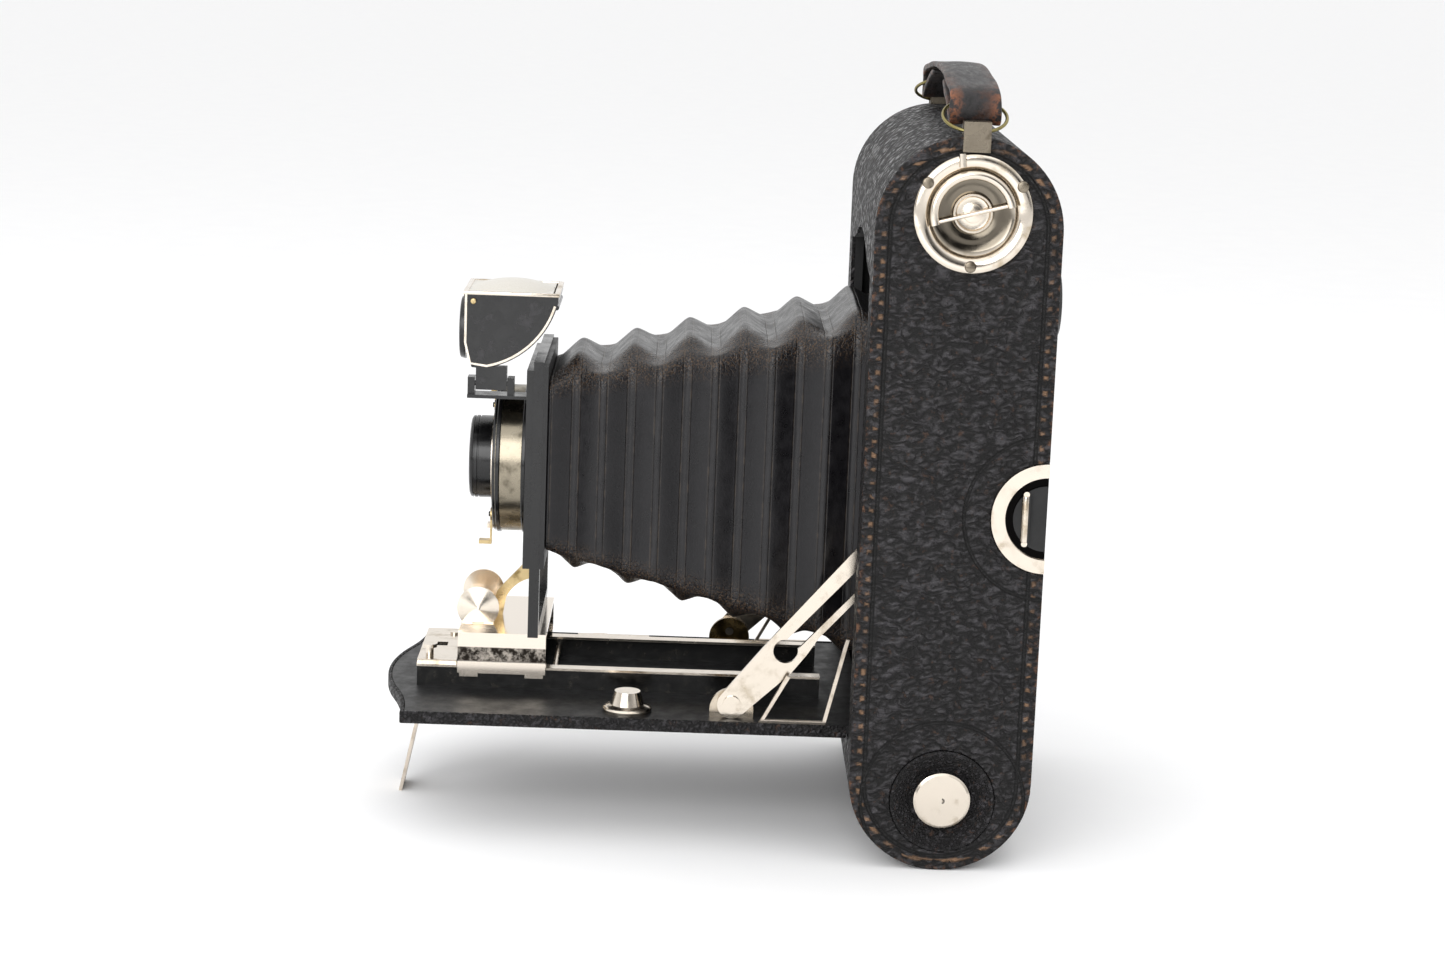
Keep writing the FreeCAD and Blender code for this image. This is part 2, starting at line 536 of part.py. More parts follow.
def struts():
    half = "5.9"
    crown = "bed_under + edging + bed_sheet + 2.2"
    left, right = "-strut_pivot_front - 5.9", "-strut_pivot_front + 5.9"
    ear = plate("YZ", [(left, BED_TOP), (right, BED_TOP), (right, crown, half, 1),
                       ("-strut_pivot_front", crown + " + 5.9", half, 1), (left, crown)],
                ("strut_inner - 1.4", "strut_inner - 0.2"))
    foot = box(("strut_inner - 5.5", "strut_inner - 1.4"), ("-strut_pivot_front - 5", "-strut_pivot_front + 5"),
               (BED_TOP, BED_TOP + " + 0.7"))
    pivot = ("-strut_pivot_front", "strut_pivot_up")
    ear = cut(join(ear, foot), rod("X", "1.25", ("0", FACE), pivot))
    piece("strut_ears", group(ear, mirrored(ear)))
    link = plate("YZ", [("0", "-3.9"), ("strut_reach * 0.3", "-5.3"), ("strut_reach * 0.36 + 3", "-4.8"),
                        ("strut_reach * 0.36 + 9", "-3.8"), ("strut_reach", "-3.6"), ("strut_reach + 4", "-1.5"),
                        ("strut_reach + 4", "3.5"), ("strut_reach", "6.3"), ("strut_reach * 0.38", "5.2"),
                        ("0", "3.9", "3.9", 1), ("-3.9", "0", "3.9", 1)],
                 ("strut_inner", "strut_inner + strut_sheet"))
    turn(link, (1, 0, 0), "strut_angle")
    put(link, "strut_inner + strut_sheet / 2", *pivot)
    slot = doc.addObject("Part::Box", "Slot")
    bind(slot, {"Length": "4", "Width": "strut_reach - strut_reach * 0.36", "Height": "2 * slot_half"})
    turn(slot, (1, 0, 0), "strut_angle")
    along = "strut_reach * 0.36"
    put(slot, "strut_inner - 1", "-strut_pivot_front + %s * cos(strut_angle) + slot_half * sin(strut_angle)" % along,
        "strut_pivot_up + %s * sin(strut_angle) - slot_half * cos(strut_angle)" % along)
    holes = [rod("X", radius, ("strut_inner - 1", "strut_inner + 3"),
                 ("-strut_pivot_front + %s * cos(strut_angle)" % reach, "strut_pivot_up + %s * sin(strut_angle)" % reach))
             for radius, reach in (("strut_hole", along), ("slot_half", "strut_reach"), ("1.25", "0"))]
    near = cut(link, slot, *holes)
    piece("struts", group(near, mirrored(near)))
    rivet = join(rod("X", "1.2", ("strut_inner - 1.4", "strut_inner + strut_sheet"), pivot),
                 rod("X", "2.4", ("strut_inner + strut_sheet", "strut_inner + strut_sheet + 0.6"), pivot))
    piece("strut_rivets", group(rivet, mirrored(rivet)))
    place = ("-strut_pivot_front + strut_reach * cos(strut_angle)", "strut_pivot_up + strut_reach * sin(strut_angle)")
    stud = join(rod("X", "strut_stud", ("strut_inner - 0.2", "body_width / 2 - leather - side_wall"), place),
                rod("X", "strut_stud + 1", ("strut_inner - 0.8", "strut_inner - 0.2"), place))
    piece("strut_studs", group(stud, mirrored(stud)))
    low, high = BED_TOP, BED_TOP + " + 0.8"
    front, rear = "-strut_pivot_front + 7.4", "-rail_rear + 0.8"
    spring = plate("YZ", [(front, low), (rear, low), (rear + " + 5.5", low + " + 23.5"),
                          (rear + " + 4.6", low + " + 23.7"), (rear + " - 0.8", high), (front + " + 1.4", high),
                          (front + " + 7.9", low + " + 12.7"), (front + " + 7", low + " + 13.1")],
                   ("strut_inner + 2.6", "strut_inner + 3.8"))
    piece("spring_wires", group(spring, mirrored(spring)))


def leg():
    pivot = ("-leg_pivot_front", "bed_under - leg_pivot_drop")
    lug = box(("leg_half + 0.4", "leg_half + 1.6"), ("-leg_pivot_front - 1.4", "-leg_pivot_front + 1.4"),
              ("bed_under - 2.5", "bed_under"))
    pin = rod("X", "0.6", ("-leg_half - 1.6", "leg_half + 1.6"), pivot)
    piece("leg_bracket", join(lug, mirrored(lug), pin))
    barrel = rod("X", "1.15", ("-leg_half", "leg_half"), pivot)
    half = "leg_sheet / 2"
    strip = plate("YZ", [("-leg_pivot_front - " + half, pivot[1]), ("-leg_pivot_front - leg_lean - " + half, "0"),
                         ("-leg_pivot_front - leg_lean + " + half, "0"), ("-leg_pivot_front + " + half, pivot[1])],
                  ("-leg_half", "leg_half"))
    piece("leg", cut(join(barrel, strip), rod("X", "0.66", ("-body_width", "body_width"), pivot)))


# ---------------------------------------------------------------- carriage and standard
def carriage():
    inner = "carriage_half - carriage_sheet"
    foot = RAIL_TOP + " - 1.4"
    under = "carriage_top - carriage_sheet"
    channel = plate("XZ", [("-carriage_half", foot), ("-(%s)" % inner, foot), ("-(%s)" % inner, under), (inner, under),
                           (inner, foot), ("carriage_half", foot), ("carriage_half", "carriage_top"),
                           ("-carriage_half", "carriage_top")], ("-carriage_front", "-carriage_rear"))
    shoe = box(("rail_half - 1.3", inner), ("-carriage_front", "-carriage_rear"), (RAIL_TOP + " + 0.12", RAIL_TOP + " + 1.2"))
    clips = [box(("rail_half + 0.6", "carriage_half"), span, (foot + " - 1", foot))
             for span in (("-carriage_front + 0.6", "-carriage_front + 5.6"), ("-carriage_rear - 5.6", "-carriage_rear - 0.6"))]
    side = join(shoe, *clips)
    slot = box(("7.6", "10.9"), ("-carriage_front + 2.9", "-carriage_front + 6.3"), (under + " - 1", "carriage_top + 1"))
    piece("carriage", cut(join(channel, side, mirrored(side)), slot, mirrored(slot)))


def pinch_grips():
    height = "carriage_top + 4.4"
    button = turned("X", [("0", "0"), ("0", "5.8"), ("0.7", "5.8"), ("1.8", "0", )], across="10.6",
                    back="-carriage_front + 4.6", up=height)
    trim = box(("0", "20"), ("-carriage_front - 10", "-carriage_front + 20"), ("carriage_top - 4", "carriage_top + 0.4"))
    stalk = box(("9.9", "10.6"), ("-carriage_front + 3.2", "-carriage_front + 6"), ("carriage_top - 2.4", height))
    near = join(cut(button, trim), stalk)
    far = mirrored(near)
    piece("pinch_near", near)
    piece("pinch_far", far)


def standard():
    outer = box(("-standard_half", "standard_half"), (STANDARD_FRONT, "-standard_back"), ("carriage_top", "standard_top"))
    window = box(("-standard_half + standard_bar", "standard_half - standard_bar"),
                 (STANDARD_FRONT + " - 1", "-standard_back + 1"), ("carriage_top + 2.5", "standard_top - 2.5"))
    piece("standard_frame", cut(outer, window))
    foot = "carriage_top"
    brace = plate("YZ", [(STANDARD_FRONT, foot + " + 18"), ("-carriage_front + 9.2", foot + " + 7", "18", 1),
                         ("-carriage_front + 8.2", foot), ("-carriage_front + 10.8", foot),
                         ("-carriage_front + 11.6", foot + " + 5", "10", -1), (STANDARD_FRONT, foot + " + 11")],
                  ("-0.8", "0.8"))
    piece("brace", brace)
    board = box(("-standard_half + 1", "standard_half - 1"), (DRUM_BACK, STANDARD_FRONT),
                ("bellows_front_low - 2", "standard_top - 2.5"))
    piece("lens_board", cut(board, lens_rod("12.1", "-finder_front", "0")))
    frame = box(("-bellows_front_half - 1.5", "bellows_front_half + 1.5"), ("-standard_back", "-standard_back + frame_sheet"),
                ("bellows_front_low - 1.5", "bellows_front_high + 1"))
    hole = box(("-bellows_front_half + bellows_wall", "bellows_front_half - bellows_wall"),
               ("-standard_back - 1", "-standard_back + frame_sheet + 1"),
               ("bellows_front_low + bellows_wall", "bellows_front_high - bellows_wall"))
    piece("bellows_frame", cut(frame, hole))


def tapered(inset, spare):
    """A four-sided taper from the standard back to the film gate, drawn in by inset."""
    wedge = doc.addObject("Part::Wedge", "Taper")
    bind(wedge, {"Ymin": "-standard_back + frame_sheet - %s" % spare, "Ymax": "gate_front - 1.5 + %s" % spare,
                 "Xmin": "-bellows_front_half + %s" % inset, "Xmax": "bellows_front_half - %s" % inset,
                 "Zmin": "bellows_front_low + %s" % inset, "Zmax": "bellows_front_high - %s" % inset,
                 "X2min": "-bellows_rear_half + %s" % inset, "X2max": "bellows_rear_half - %s" % inset,
                 "Z2min": "bellows_rear_low + %s" % inset, "Z2max": "bellows_rear_high - %s" % inset})
    put(wedge)
    return wedge


def bellows():
    piece("bellows", cut(tapered("0", "0"), tapered("bellows_wall", "0.5")))


# ---------------------------------------------------------------- shutter and lens
def lens_rod(radius, front, rear):
    return rod("Y", radius, (front, rear), ("0", "lens_height"))


def shutter():
    drum = turned("Y", [("0", "12.1"), ("0", "drum_radius"), ("-drum_length", "drum_radius"),
                        ("-drum_length", "drum_radius - case_sheet - 0.1"), ("-case_sheet", "drum_radius - case_sheet - 0.1"),
                        ("-case_sheet", "12.1")], back=DRUM_BACK, up="lens_height")
    piece("shutter_case", drum)
    face = turned("Y", [("0", "neck_radius + 0.3"), ("0", "drum_radius"), ("0.3 - face_sheet", "drum_radius"),
                        ("-face_sheet", "drum_radius - 0.3"), ("-face_sheet", "neck_radius + 0.3")],
                  back=DRUM_FRONT, up="lens_height")
    pins = [rod("Y", "0.7", (FACE_FRONT + " - 1.3", FACE_FRONT), (across, "lens_height + " + up))
            for across, up in (("0", "lever_offset"), release_pivot())]
    piece("shutter_face", join(face, *pins))
    head_back = "-neck_reach"
    barrel = turned("Y", [("-barrel_reach", "lens_radius + 0.1"), ("-barrel_reach", "barrel_radius"),
                          (head_back, "barrel_radius"), (head_back, "neck_radius"), ("-2.7", "neck_radius"),
                          ("-2.7", "lens_radius - 1.3"), ("2.8 - barrel_reach", "lens_radius - 1.3"),
                          ("2.8 - barrel_reach", "lens_radius + 0.1")], back=DRUM_BACK, up="lens_height")
    piece("lens_barrel", barrel)
    lens = turned("Y", [("2.8", "0"), ("0.8", "0", "(lens_radius^2 + 1.2^2) / 2.4", -1), ("2", "lens_radius"),
                        ("2.8", "lens_radius")], back=DRUM_BACK + " - barrel_reach", up="lens_height")
    piece("front_lens", lens)
    cell = turned("Y", [("-case_sheet - 0.6", "9.5"), ("-case_sheet - 0.6", "13.5"), ("-case_sheet - 0.05", "13.5"),
                        ("-case_sheet - 0.05", "11.9"), ("board_sheet + standard_depth + 1.6", "11.9"),
                        ("board_sheet + standard_depth + 1.6", "9.5")], back=DRUM_BACK, up="lens_height")
    piece("rear_lens_cell", cell)


def release_pivot():
    return "8", "-lever_offset"


def shutter_levers():
    near, far = FACE_FRONT + " - 0.3 - lever_sheet", FACE_FRONT + " - 0.3"
    ring = lens_rod("neck_radius + 2.6", near, far)
    arm = box(("-1.1", "1.1"), (near, far), ("lens_height - drum_radius + 1.5", "lens_height - neck_radius - 1"))
    tab = box(("-1.4", "1.4"), (near + " - 1.3", far), ("lens_height - drum_radius + 0.3", "lens_height - drum_radius + 1.5"))
    eye = lens_rod("neck_radius + 0.1", near + " - 3", far + " + 1")
    piece("aperture_lever", cut(join(ring, arm, tab), eye))
    boss = rod("Y", "1.8", (near, far), ("0", "lens_height + lever_offset"))
    pointer = box(("-0.9", "0.9"), (near, far), ("lens_height + lever_offset", "lens_height + drum_radius - 0.8"))
    finger = box(("-1.2", "1.2"), (near + " - 1", far), ("lens_height + drum_radius - 2", "lens_height + drum_radius - 0.8"))
    hole = rod("Y", "0.76", (near + " - 3", far + " + 1"), ("0", "lens_height + lever_offset"))
    piece("speed_lever", cut(join(boss, pointer, finger), hole))
    across, offset = release_pivot()
    up = "lens_height + " + offset
    hub = rod("Y", "1.8", (near, far), (across, up))
    stem = box((across + " - 0.9", across + " + 0.9"), (near, far), (up + " - 7.4", up))
    thumb = box((across + " - 1.5", across + " + 1.5"), (near + " - 3", far), (up + " - 8.2", up + " - 7.2"))
    eyelet = rod("Y", "0.76", (near + " - 3", far + " + 1"), (across, up))
    piece("release_lever", cut(join(hub, stem, thumb), eyelet))


# ---------------------------------------------------------------- finder
def finder():
    front, rear = "-finder_front", "-finder_front + 25.4"
    pivot = ("finder_pivot_across", "finder_pivot_up")
    outer = plate("YZ", finder_profile(front, rear, "0"), ("finder_left", "finder_right"))
    inner = plate("YZ", finder_profile(front, rear, "finder_sheet"),
                  ("finder_left + finder_sheet", "finder_right - finder_sheet"))
    opening = rod("Y", "finder_lens_radius - 1", (front + " - 2", front + " + 3"),
                  ("finder_across", "finder_top - 11.2"))
    knuckle = box(("finder_pivot_across - 1.4", "finder_pivot_across + 1.4"), (front + " + 3.6", front + " + 12"),
                  ("finder_pivot_up - 1.6", "finder_floor + 0.6"))
    bore = rod("Y", "0.76", (front, rear), pivot)
    piece("finder_body", cut(join(cut(outer, inner, opening), knuckle), bore))
    piece("finder_lens", turned("Y", [("0", "0"), ("0", "finder_lens_radius"), ("-0.5", "finder_lens_radius"), ("-1", "0")],
                                across="finder_across", back=front, up="finder_top - 11.2"))
    slab = box(("finder_left + 1", "finder_right - 1"), (front + " + 1", rear + " - 1.6"),
               ("finder_top - 0.6", "finder_top + 0.2"))
    dome = doc.addObject("Part::Sphere", "Dome")
    bind(dome, {"Radius": "29"})
    put(dome, "finder_across", front + " + 12.6", "finder_top + 2.6 - 29")
    cap = common(dome, box(("finder_left + 1.2", "finder_right - 1.2"), (front + " + 1.2", rear + " - 1.8"),
                           ("finder_top", "finder_top + 4")))
    piece("finder_glass", join(slab, cap))
    piece("finder_mirror", plate("YZ", [(front + " + 3.8", "finder_floor + 2.3"), (front + " + 21", "finder_top - 2.6"),
                                        (front + " + 20.5", "finder_top - 2"), (front + " + 3.3", "finder_floor + 2.9")],
                                 ("finder_left + 1.2", "finder_right - 1.2")))
    base_low, base_high = "finder_pivot_up - 3.6", "finder_pivot_up - 2.7"
    base = box(("finder_pivot_across - 3.5", "finder_pivot_across + 3.5"), (front + " + 1.5", DRUM_BACK), (base_low, base_high))
    lugs = [box(("finder_pivot_across - 2.1", "finder_pivot_across + 2.1"), span, (base_high, "finder_pivot_up + 1.9"))
            for span in ((front + " + 1.5", front + " + 3.4"), (front + " + 12.2", front + " + 14"))]
    piece("finder_bracket", join(base, rod("Y", "0.7", (front + " + 1.5", front + " + 14"), pivot), *lugs))


def finder_profile(front, rear, skin):
    """Side outline of the finder: upright front, flat open top, round bottom rising to the rear."""
    top = "finder_top + 1" if skin != "0" else "finder_top"
    floor = "finder_floor + " + skin
    return [(front + " + %s" % skin, top), (front + " + 0.6 + %s" % skin, "finder_floor + 6"),
            (front + " + 2.4 + %s" % skin, floor + " + 0.3"), (front + " + 5.5", floor, "24.5", 1),
            (rear + " - 1.5 * %s" % skin, "finder_top - 1.8"), (rear + " - 1.5 * %s" % skin, top)]


# ---------------------------------------------------------------- carrying strap
def strap():
    top = "body_height"
    outer = FACE + " + 0.7"
    tab_y = ("spool_back - tab_half", "spool_back + tab_half")
    side = box((FACE, outer), tab_y, ("take_up_high + key_radius + 0.3", top + " + 3.7"))
    roof = box((FACE + " - 4.5", outer), tab_y, (top + " + 3", top + " + 3.7"))
    inner = box((FACE + " - 4.5", FACE + " - 3.8"), tab_y, (top, top + " + 3.7"))
    tab = join(side, roof, inner)
    piece("strap_tabs", group(tab, mirrored(tab)))
    ring = doc.addObject("Part::Torus", "Ring")
    bind(ring, {"Radius1": "ring_radius", "Radius2": "ring_wire"})
    ring.Placement.Rotation = FreeCAD.Rotation(FreeCAD.Vector(0, 1, 0), 90 - size("ring_lean"))
    put(ring, "ring_foot_across - ring_radius * sin(ring_lean)", "spool_back",
        "body_height + ring_foot_rise + ring_radius * cos(ring_lean)")
    piece("strap_rings", group(ring, mirrored(ring)))
    width = ("spool_back - strap_half_width", "spool_back + strap_half_width")
    band = box(("-38", "38"), width, (top + " + 9.6", top + " + 11.8"))
    loop = box(("38", "49"), width, (top + " + 3.8", top + " + 11.8"))
    eye = box(("39.6", "47.4"), ("spool_back - 10", "spool_back + 10"), (top + " + 5.2", top + " + 10.4"))
    end = cut(loop, eye)
    piece("strap", join(band, end, mirrored(end)))


def check_and_write():
    """Refuse a failed feature or a bad solid, then write one file per sub-part."""
    doc.recompute()
    failed = [o.Label for o in doc.Objects if "Invalid" in o.State or "Error" in o.State]
    for thing in PIECES:
        shape = thing.Shape
        if shape.isNull() or not shape.isValid() or not shape.Solids:
            failed.append(thing.Label)
    if failed:
        raise RuntimeError("these did not build: " + ", ".join(failed))
    os.makedirs("parts", exist_ok=True)
    for thing in PIECES:
        thing.Shape.exportStep(os.path.join("parts", thing.Label + ".step"))
    print(len(PIECES), "sub-parts written")


for make in (body_shell, leathers, film_gate, guide_rollers, back_cover, winding_key, winding_bail, spools,
             loading_knob, catches, bed, rails, bed_fittings, struts, leg, carriage, pinch_grips, standard,
             bellows, shutter, shutter_levers, finder, strap):
    make()
check_and_write()
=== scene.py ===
"""Folding roll-film camera standing open: finishes and soft pieces round its CAD model."""
import math

import bmesh
import bpy
from mathutils import Matrix, Vector, noise


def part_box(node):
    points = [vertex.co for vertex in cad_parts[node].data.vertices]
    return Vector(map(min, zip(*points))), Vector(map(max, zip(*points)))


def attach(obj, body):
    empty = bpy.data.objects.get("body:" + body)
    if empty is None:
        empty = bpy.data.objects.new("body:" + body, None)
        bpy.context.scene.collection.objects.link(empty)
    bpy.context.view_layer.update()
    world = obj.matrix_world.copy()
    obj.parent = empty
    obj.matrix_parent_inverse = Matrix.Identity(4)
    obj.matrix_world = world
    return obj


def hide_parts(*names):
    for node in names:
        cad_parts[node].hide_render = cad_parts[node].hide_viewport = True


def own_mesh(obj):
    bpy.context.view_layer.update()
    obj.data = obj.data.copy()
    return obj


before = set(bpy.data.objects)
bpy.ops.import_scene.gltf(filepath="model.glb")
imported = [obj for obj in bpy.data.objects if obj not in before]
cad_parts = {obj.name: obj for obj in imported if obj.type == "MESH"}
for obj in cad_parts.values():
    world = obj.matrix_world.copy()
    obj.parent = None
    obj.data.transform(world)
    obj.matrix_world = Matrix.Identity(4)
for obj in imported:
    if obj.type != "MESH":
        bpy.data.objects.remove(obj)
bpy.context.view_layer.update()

# ------------------------------------------------------------------ case shell, gate and rollers
# The case is drawn aluminium sheet, lacquered dull black inside so that no light is thrown about.
# The film gate and the bellows' rear frame are pressed steel with the same lacquer.
MM = 0.001


def linear(code):
    """A hex sRGB colour as the linear RGBA that a socket takes."""
    parts = [int(code[i:i + 2], 16) / 255 for i in (1, 3, 5)]
    return [p / 12.92 if p <= 0.04045 else ((p + 0.055) / 1.055) ** 2.4 for p in parts] + [1.0]


def wire(tree, kind, sockets, **settings):
    """Add a node and give back its first output; a socket is linked to an output or set to a value."""
    made = tree.nodes.new("ShaderNode" + kind)
    for setting, value in settings.items():
        setattr(made, setting, value)
    for socket, value in sockets.items():
        if isinstance(value, bpy.types.NodeSocket):
            tree.links.new(value, made.inputs[socket])
        else:
            made.inputs[socket].default_value = value
    return next(output for output in made.outputs if output.enabled)


def finish(name, **sockets):
    """A named material, its tree, its shader and its object coordinates."""
    made = bpy.data.materials.new(name)
    made.use_nodes = True
    shader = made.node_tree.nodes["Principled BSDF"]
    for socket, value in sockets.items():
        shader.inputs[socket.replace("_", " ")].default_value = value
    place = made.node_tree.nodes.new("ShaderNodeTexCoord").outputs["Object"]
    return made, made.node_tree, shader, place


def blend(tree, amount, first, second):
    """Mix two colours by an amount from 0 to 1."""
    first = linear(first) if isinstance(first, str) else first
    second = linear(second) if isinstance(second, str) else second
    return wire(tree, "Mix", {0: amount, 6: first, 7: second}, data_type="RGBA")


def step(tree, value, low, high, start=0.0, end=1.0):
    """A smooth rise from start to end as value goes from low to high."""
    return wire(tree, "MapRange", {0: value, 1: low, 2: high, 3: start, 4: end}, interpolation_type="SMOOTHSTEP")


def dress(material, *names):
    """Give CAD nodes a finish."""
    for name in names:
        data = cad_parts[name].data
        data.materials.clear()
        data.materials.append(material)


def lacquer(name, colour, worn, roughness, metal=0.0, patch=9.0, ripple=0.05):
    """Brushed-on or sprayed lacquer: fine orange peel, and scuffs patch mm across that dull and lighten it."""
    made, tree, shader, place = finish(name, Metallic=metal)
    scuff = wire(tree, "TexNoise", {"Vector": place, "Scale": 1 / (patch * MM), "Detail": 6.0, "Roughness": 0.7})
    rub = step(tree, scuff, 0.52, 0.75)
    tree.links.new(blend(tree, rub, colour, worn), shader.inputs["Base Color"])
    tree.links.new(step(tree, scuff, 0.3, 0.8, roughness, roughness + 0.25), shader.inputs["Roughness"])
    peel = wire(tree, "TexNoise", {"Vector": place, "Scale": 1 / (1.2 * MM), "Detail": 3.0})
    bump = wire(tree, "Bump", {"Strength": 0.5, "Distance": ripple * MM, "Height": peel})
    tree.links.new(bump, shader.inputs["Normal"])
    return made


# dull black lacquer: deep, almost no shine, a few grey rubs
dull_black = lacquer("dull_black_lacquer", "#0d0d0e", "#242325", 0.55)
dress(dull_black, "body_shell", "film_gate", "back_cover")

# ------------------------------------------------------------------ leather on the case
# Cowhide embossed with long pebbles, glued over the shell, pinned under a beaded border.
# Its black dye has rubbed brown along the edges and on the beads.
side_low, side_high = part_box("side_leathers")
mid_y = (side_low[1] + side_high[1]) / 2
CASE_HEIGHT = side_high[2]
END_RADIUS = (side_high[1] - side_low[1]) / 2


def settle(name, bm, body, material, replaced=(), smooth=35.0):
    """Turn a bmesh into a piece that rides on a body."""
    bmesh.ops.recalc_face_normals(bm, faces=bm.faces)
    data = bpy.data.meshes.new(name)
    bm.to_mesh(data)
    bm.free()
    data.polygons.foreach_set("use_smooth", [True] * len(data.polygons))
    data.set_sharp_from_angle(angle=math.radians(smooth))
    data.materials.append(material)
    piece = bpy.data.objects.new(name, data)
    bpy.context.scene.collection.objects.link(piece)
    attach(piece, body)
    if replaced:
        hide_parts(*replaced)
    return piece


def softened(name, node, body, material, offset):
    """A copy of a CAD node with its sharp edges rolled over, in the place of the node."""
    bm = bmesh.new()
    bm.from_mesh(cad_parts[node].data)
    bmesh.ops.remove_doubles(bm, verts=bm.verts, dist=0.002 * MM)
    bmesh.ops.dissolve_limit(bm, angle_limit=math.radians(1), verts=bm.verts, edges=bm.edges)
    sharp = [e for e in bm.edges if len(e.link_faces) == 2 and e.calc_face_angle() > math.radians(50)]
    bmesh.ops.bevel(bm, geom=sharp, offset=offset, segments=3, profile=0.5, affect="EDGES", material=-1)
    bmesh.ops.triangulate(bm, faces=bm.faces)
    return settle(name, bm, body, material, (node,), smooth=40)


def apart(tree, place):
    """The three coordinates of a place, each on its own."""
    split = tree.nodes.new("ShaderNodeSeparateXYZ")
    tree.links.new(place, split.inputs[0])
    return split.outputs


def sums(tree, operation, first, second=0.0):
    return wire(tree, "Math", {0: first, 1: second}, operation=operation)


def line(tree, distance, at, half):
    """A soft stripe where a distance is within half of at."""
    away = sums(tree, "ABSOLUTE", sums(tree, "SUBTRACT", distance, at))
    return step(tree, away, half * 0.3, half, 1.0, 0.0)


def hide(name, stretch, border=None, rings=(), cell=1.5, beads=0.0, rubbed=0.35):
    """Embossed black cowhide; stretch lengthens its pebbles and border gives the distance from its edge."""
    made, tree, shader, place = finish(name, IOR=1.5, Specular_IOR_Level=0.32)
    warp = wire(tree, "TexNoise", {"Vector": place, "Scale": 1 / (4 * MM), "Detail": 3.0})
    shift = wire(tree, "VectorMath", {0: warp, 1: (0.5, 0.5, 0.5)}, operation="SUBTRACT")
    shift = wire(tree, "VectorMath", {0: shift, 3: 3.5 * MM}, operation="SCALE")
    moved = wire(tree, "VectorMath", {0: place, 1: shift}, operation="ADD")
    turned = wire(tree, "Mapping", {"Vector": moved, "Rotation": (math.radians(14), 0, 0), "Scale": stretch})
    gap = wire(tree, "TexVoronoi", {"Vector": turned, "Scale": 1 / (cell * MM)}, feature="DISTANCE_TO_EDGE")
    pebble = step(tree, gap, 0.0, 0.38)
    pores = wire(tree, "TexNoise", {"Vector": place, "Scale": 1 / (0.4 * MM), "Detail": 3.0, "Roughness": 0.6})
    swell_and_sheen = wire(tree, "TexNoise", {"Vector": turned, "Scale": 1 / (1.5 * MM), "Detail": 3.0})
    stain = wire(tree, "TexNoise", {"Vector": place, "Scale": 1 / (2.2 * MM), "Detail": 6.0, "Roughness": 0.7})
    height = sums(tree, "ADD", pebble, sums(tree, "MULTIPLY", pores, 0.35))
    height = sums(tree, "ADD", height, sums(tree, "MULTIPLY", swell_and_sheen, 1.2))
    # painted shade: the crevices between the pebbles are coloured near-black and the pebble tops a lighter grey,
    # standing in for shade in the grain
    colour = blend(tree, pebble, "#050404", "#211f21")
    # painted highlight: where the grain swells it is coloured a lighter grey in long dashes, standing in for the lamps'
    # sheen on the pebble tops
    colour = blend(tree, step(tree, swell_and_sheen, 0.5, 0.7, 0.0, 0.7), colour, "#3b393c")
    fade = sums(tree, "MULTIPLY", step(tree, stain, 0.57, 0.68), step(tree, gap, 0.05, 0.3, 1.0, 0.0))
    colour = blend(tree, sums(tree, "MULTIPLY", fade, 0.8), colour, "#3d2b21")
    if border:
        distance, along = border(tree, place)
        groove = line(tree, distance, 3.9 * MM, 0.65 * MM)
        for centre, radius in rings:
            offset = wire(tree, "VectorMath", {0: place, 1: centre}, operation="DISTANCE")
            away = next(o for o in offset.node.outputs if o.name == "Value")
            groove = sums(tree, "MAXIMUM", groove, line(tree, away, radius, 0.6 * MM))
        uneven = sums(tree, "ADD", sums(tree, "MULTIPLY", along, 2 * math.pi / (3.6 * MM)), sums(
            tree, "MULTIPLY", swell_and_sheen, 5.0))
        bead = sums(tree, "MULTIPLY", line(tree, distance, 2.4 * MM, 0.9 * MM), step(
            tree, sums(tree, "SINE", uneven), 0.2, 0.95))
        patch = wire(tree, "TexNoise", {"Vector": place, "Scale": 1 / (16 * MM), "Detail": 2.0})
        worn = sums(tree, "MULTIPLY", bead, step(tree, patch, 0.36, 0.6, 0.15, 1.0))
        edge = sums(tree, "MULTIPLY", step(tree, distance, 0.0, 1.5 * MM, 1.0, 0.0),
                    step(tree, stain, 0.5, 0.64, 0.0, 1.0))
        colour = blend(tree, sums(tree, "MULTIPLY", worn, beads), colour, "#86684f")
        colour = blend(tree, sums(tree, "MULTIPLY", edge, rubbed), colour, "#6b4a35")
        # painted shade: the border groove and the rings round the knob and the catch are coloured near-black, standing
        # in for the shade inside the pressed groove
        colour = blend(tree, groove, colour, "#080707")
        height = sums(tree, "ADD", height, sums(tree, "MULTIPLY", bead, 0.9))
        height = sums(tree, "SUBTRACT", height, sums(tree, "MULTIPLY", groove, 2.6))
    tree.links.new(colour, shader.inputs["Base Color"])
    shine = sums(tree, "ADD", sums(tree, "MULTIPLY", pebble, 0.4), swell_and_sheen)
    tree.links.new(step(tree, shine, 0.4, 1.0, 0.7, 0.28), shader.inputs["Roughness"])
    bump = wire(tree, "Bump", {"Strength": 1.0, "Distance": 0.5 * MM, "Height": height})
    tree.links.new(bump, shader.inputs["Normal"])
    return made


def side_border(tree, place):
    """How far a point on the side lies inside the round-ended outline, and how far up it is."""
    x, y, z = apart(tree, place)
    over = sums(tree, "MAXIMUM", sums(tree, "SUBTRACT", sums(tree, "ABSOLUTE", sums(
        tree, "SUBTRACT", z, CASE_HEIGHT / 2)), CASE_HEIGHT / 2 - END_RADIUS), 0.0)
    out = sums(tree, "SQRT", sums(tree, "ADD", sums(tree, "POWER", sums(tree, "SUBTRACT", y, mid_y), 2.0),
                                  sums(tree, "POWER", over, 2.0)))
    return sums(tree, "SUBTRACT", END_RADIUS, out), z


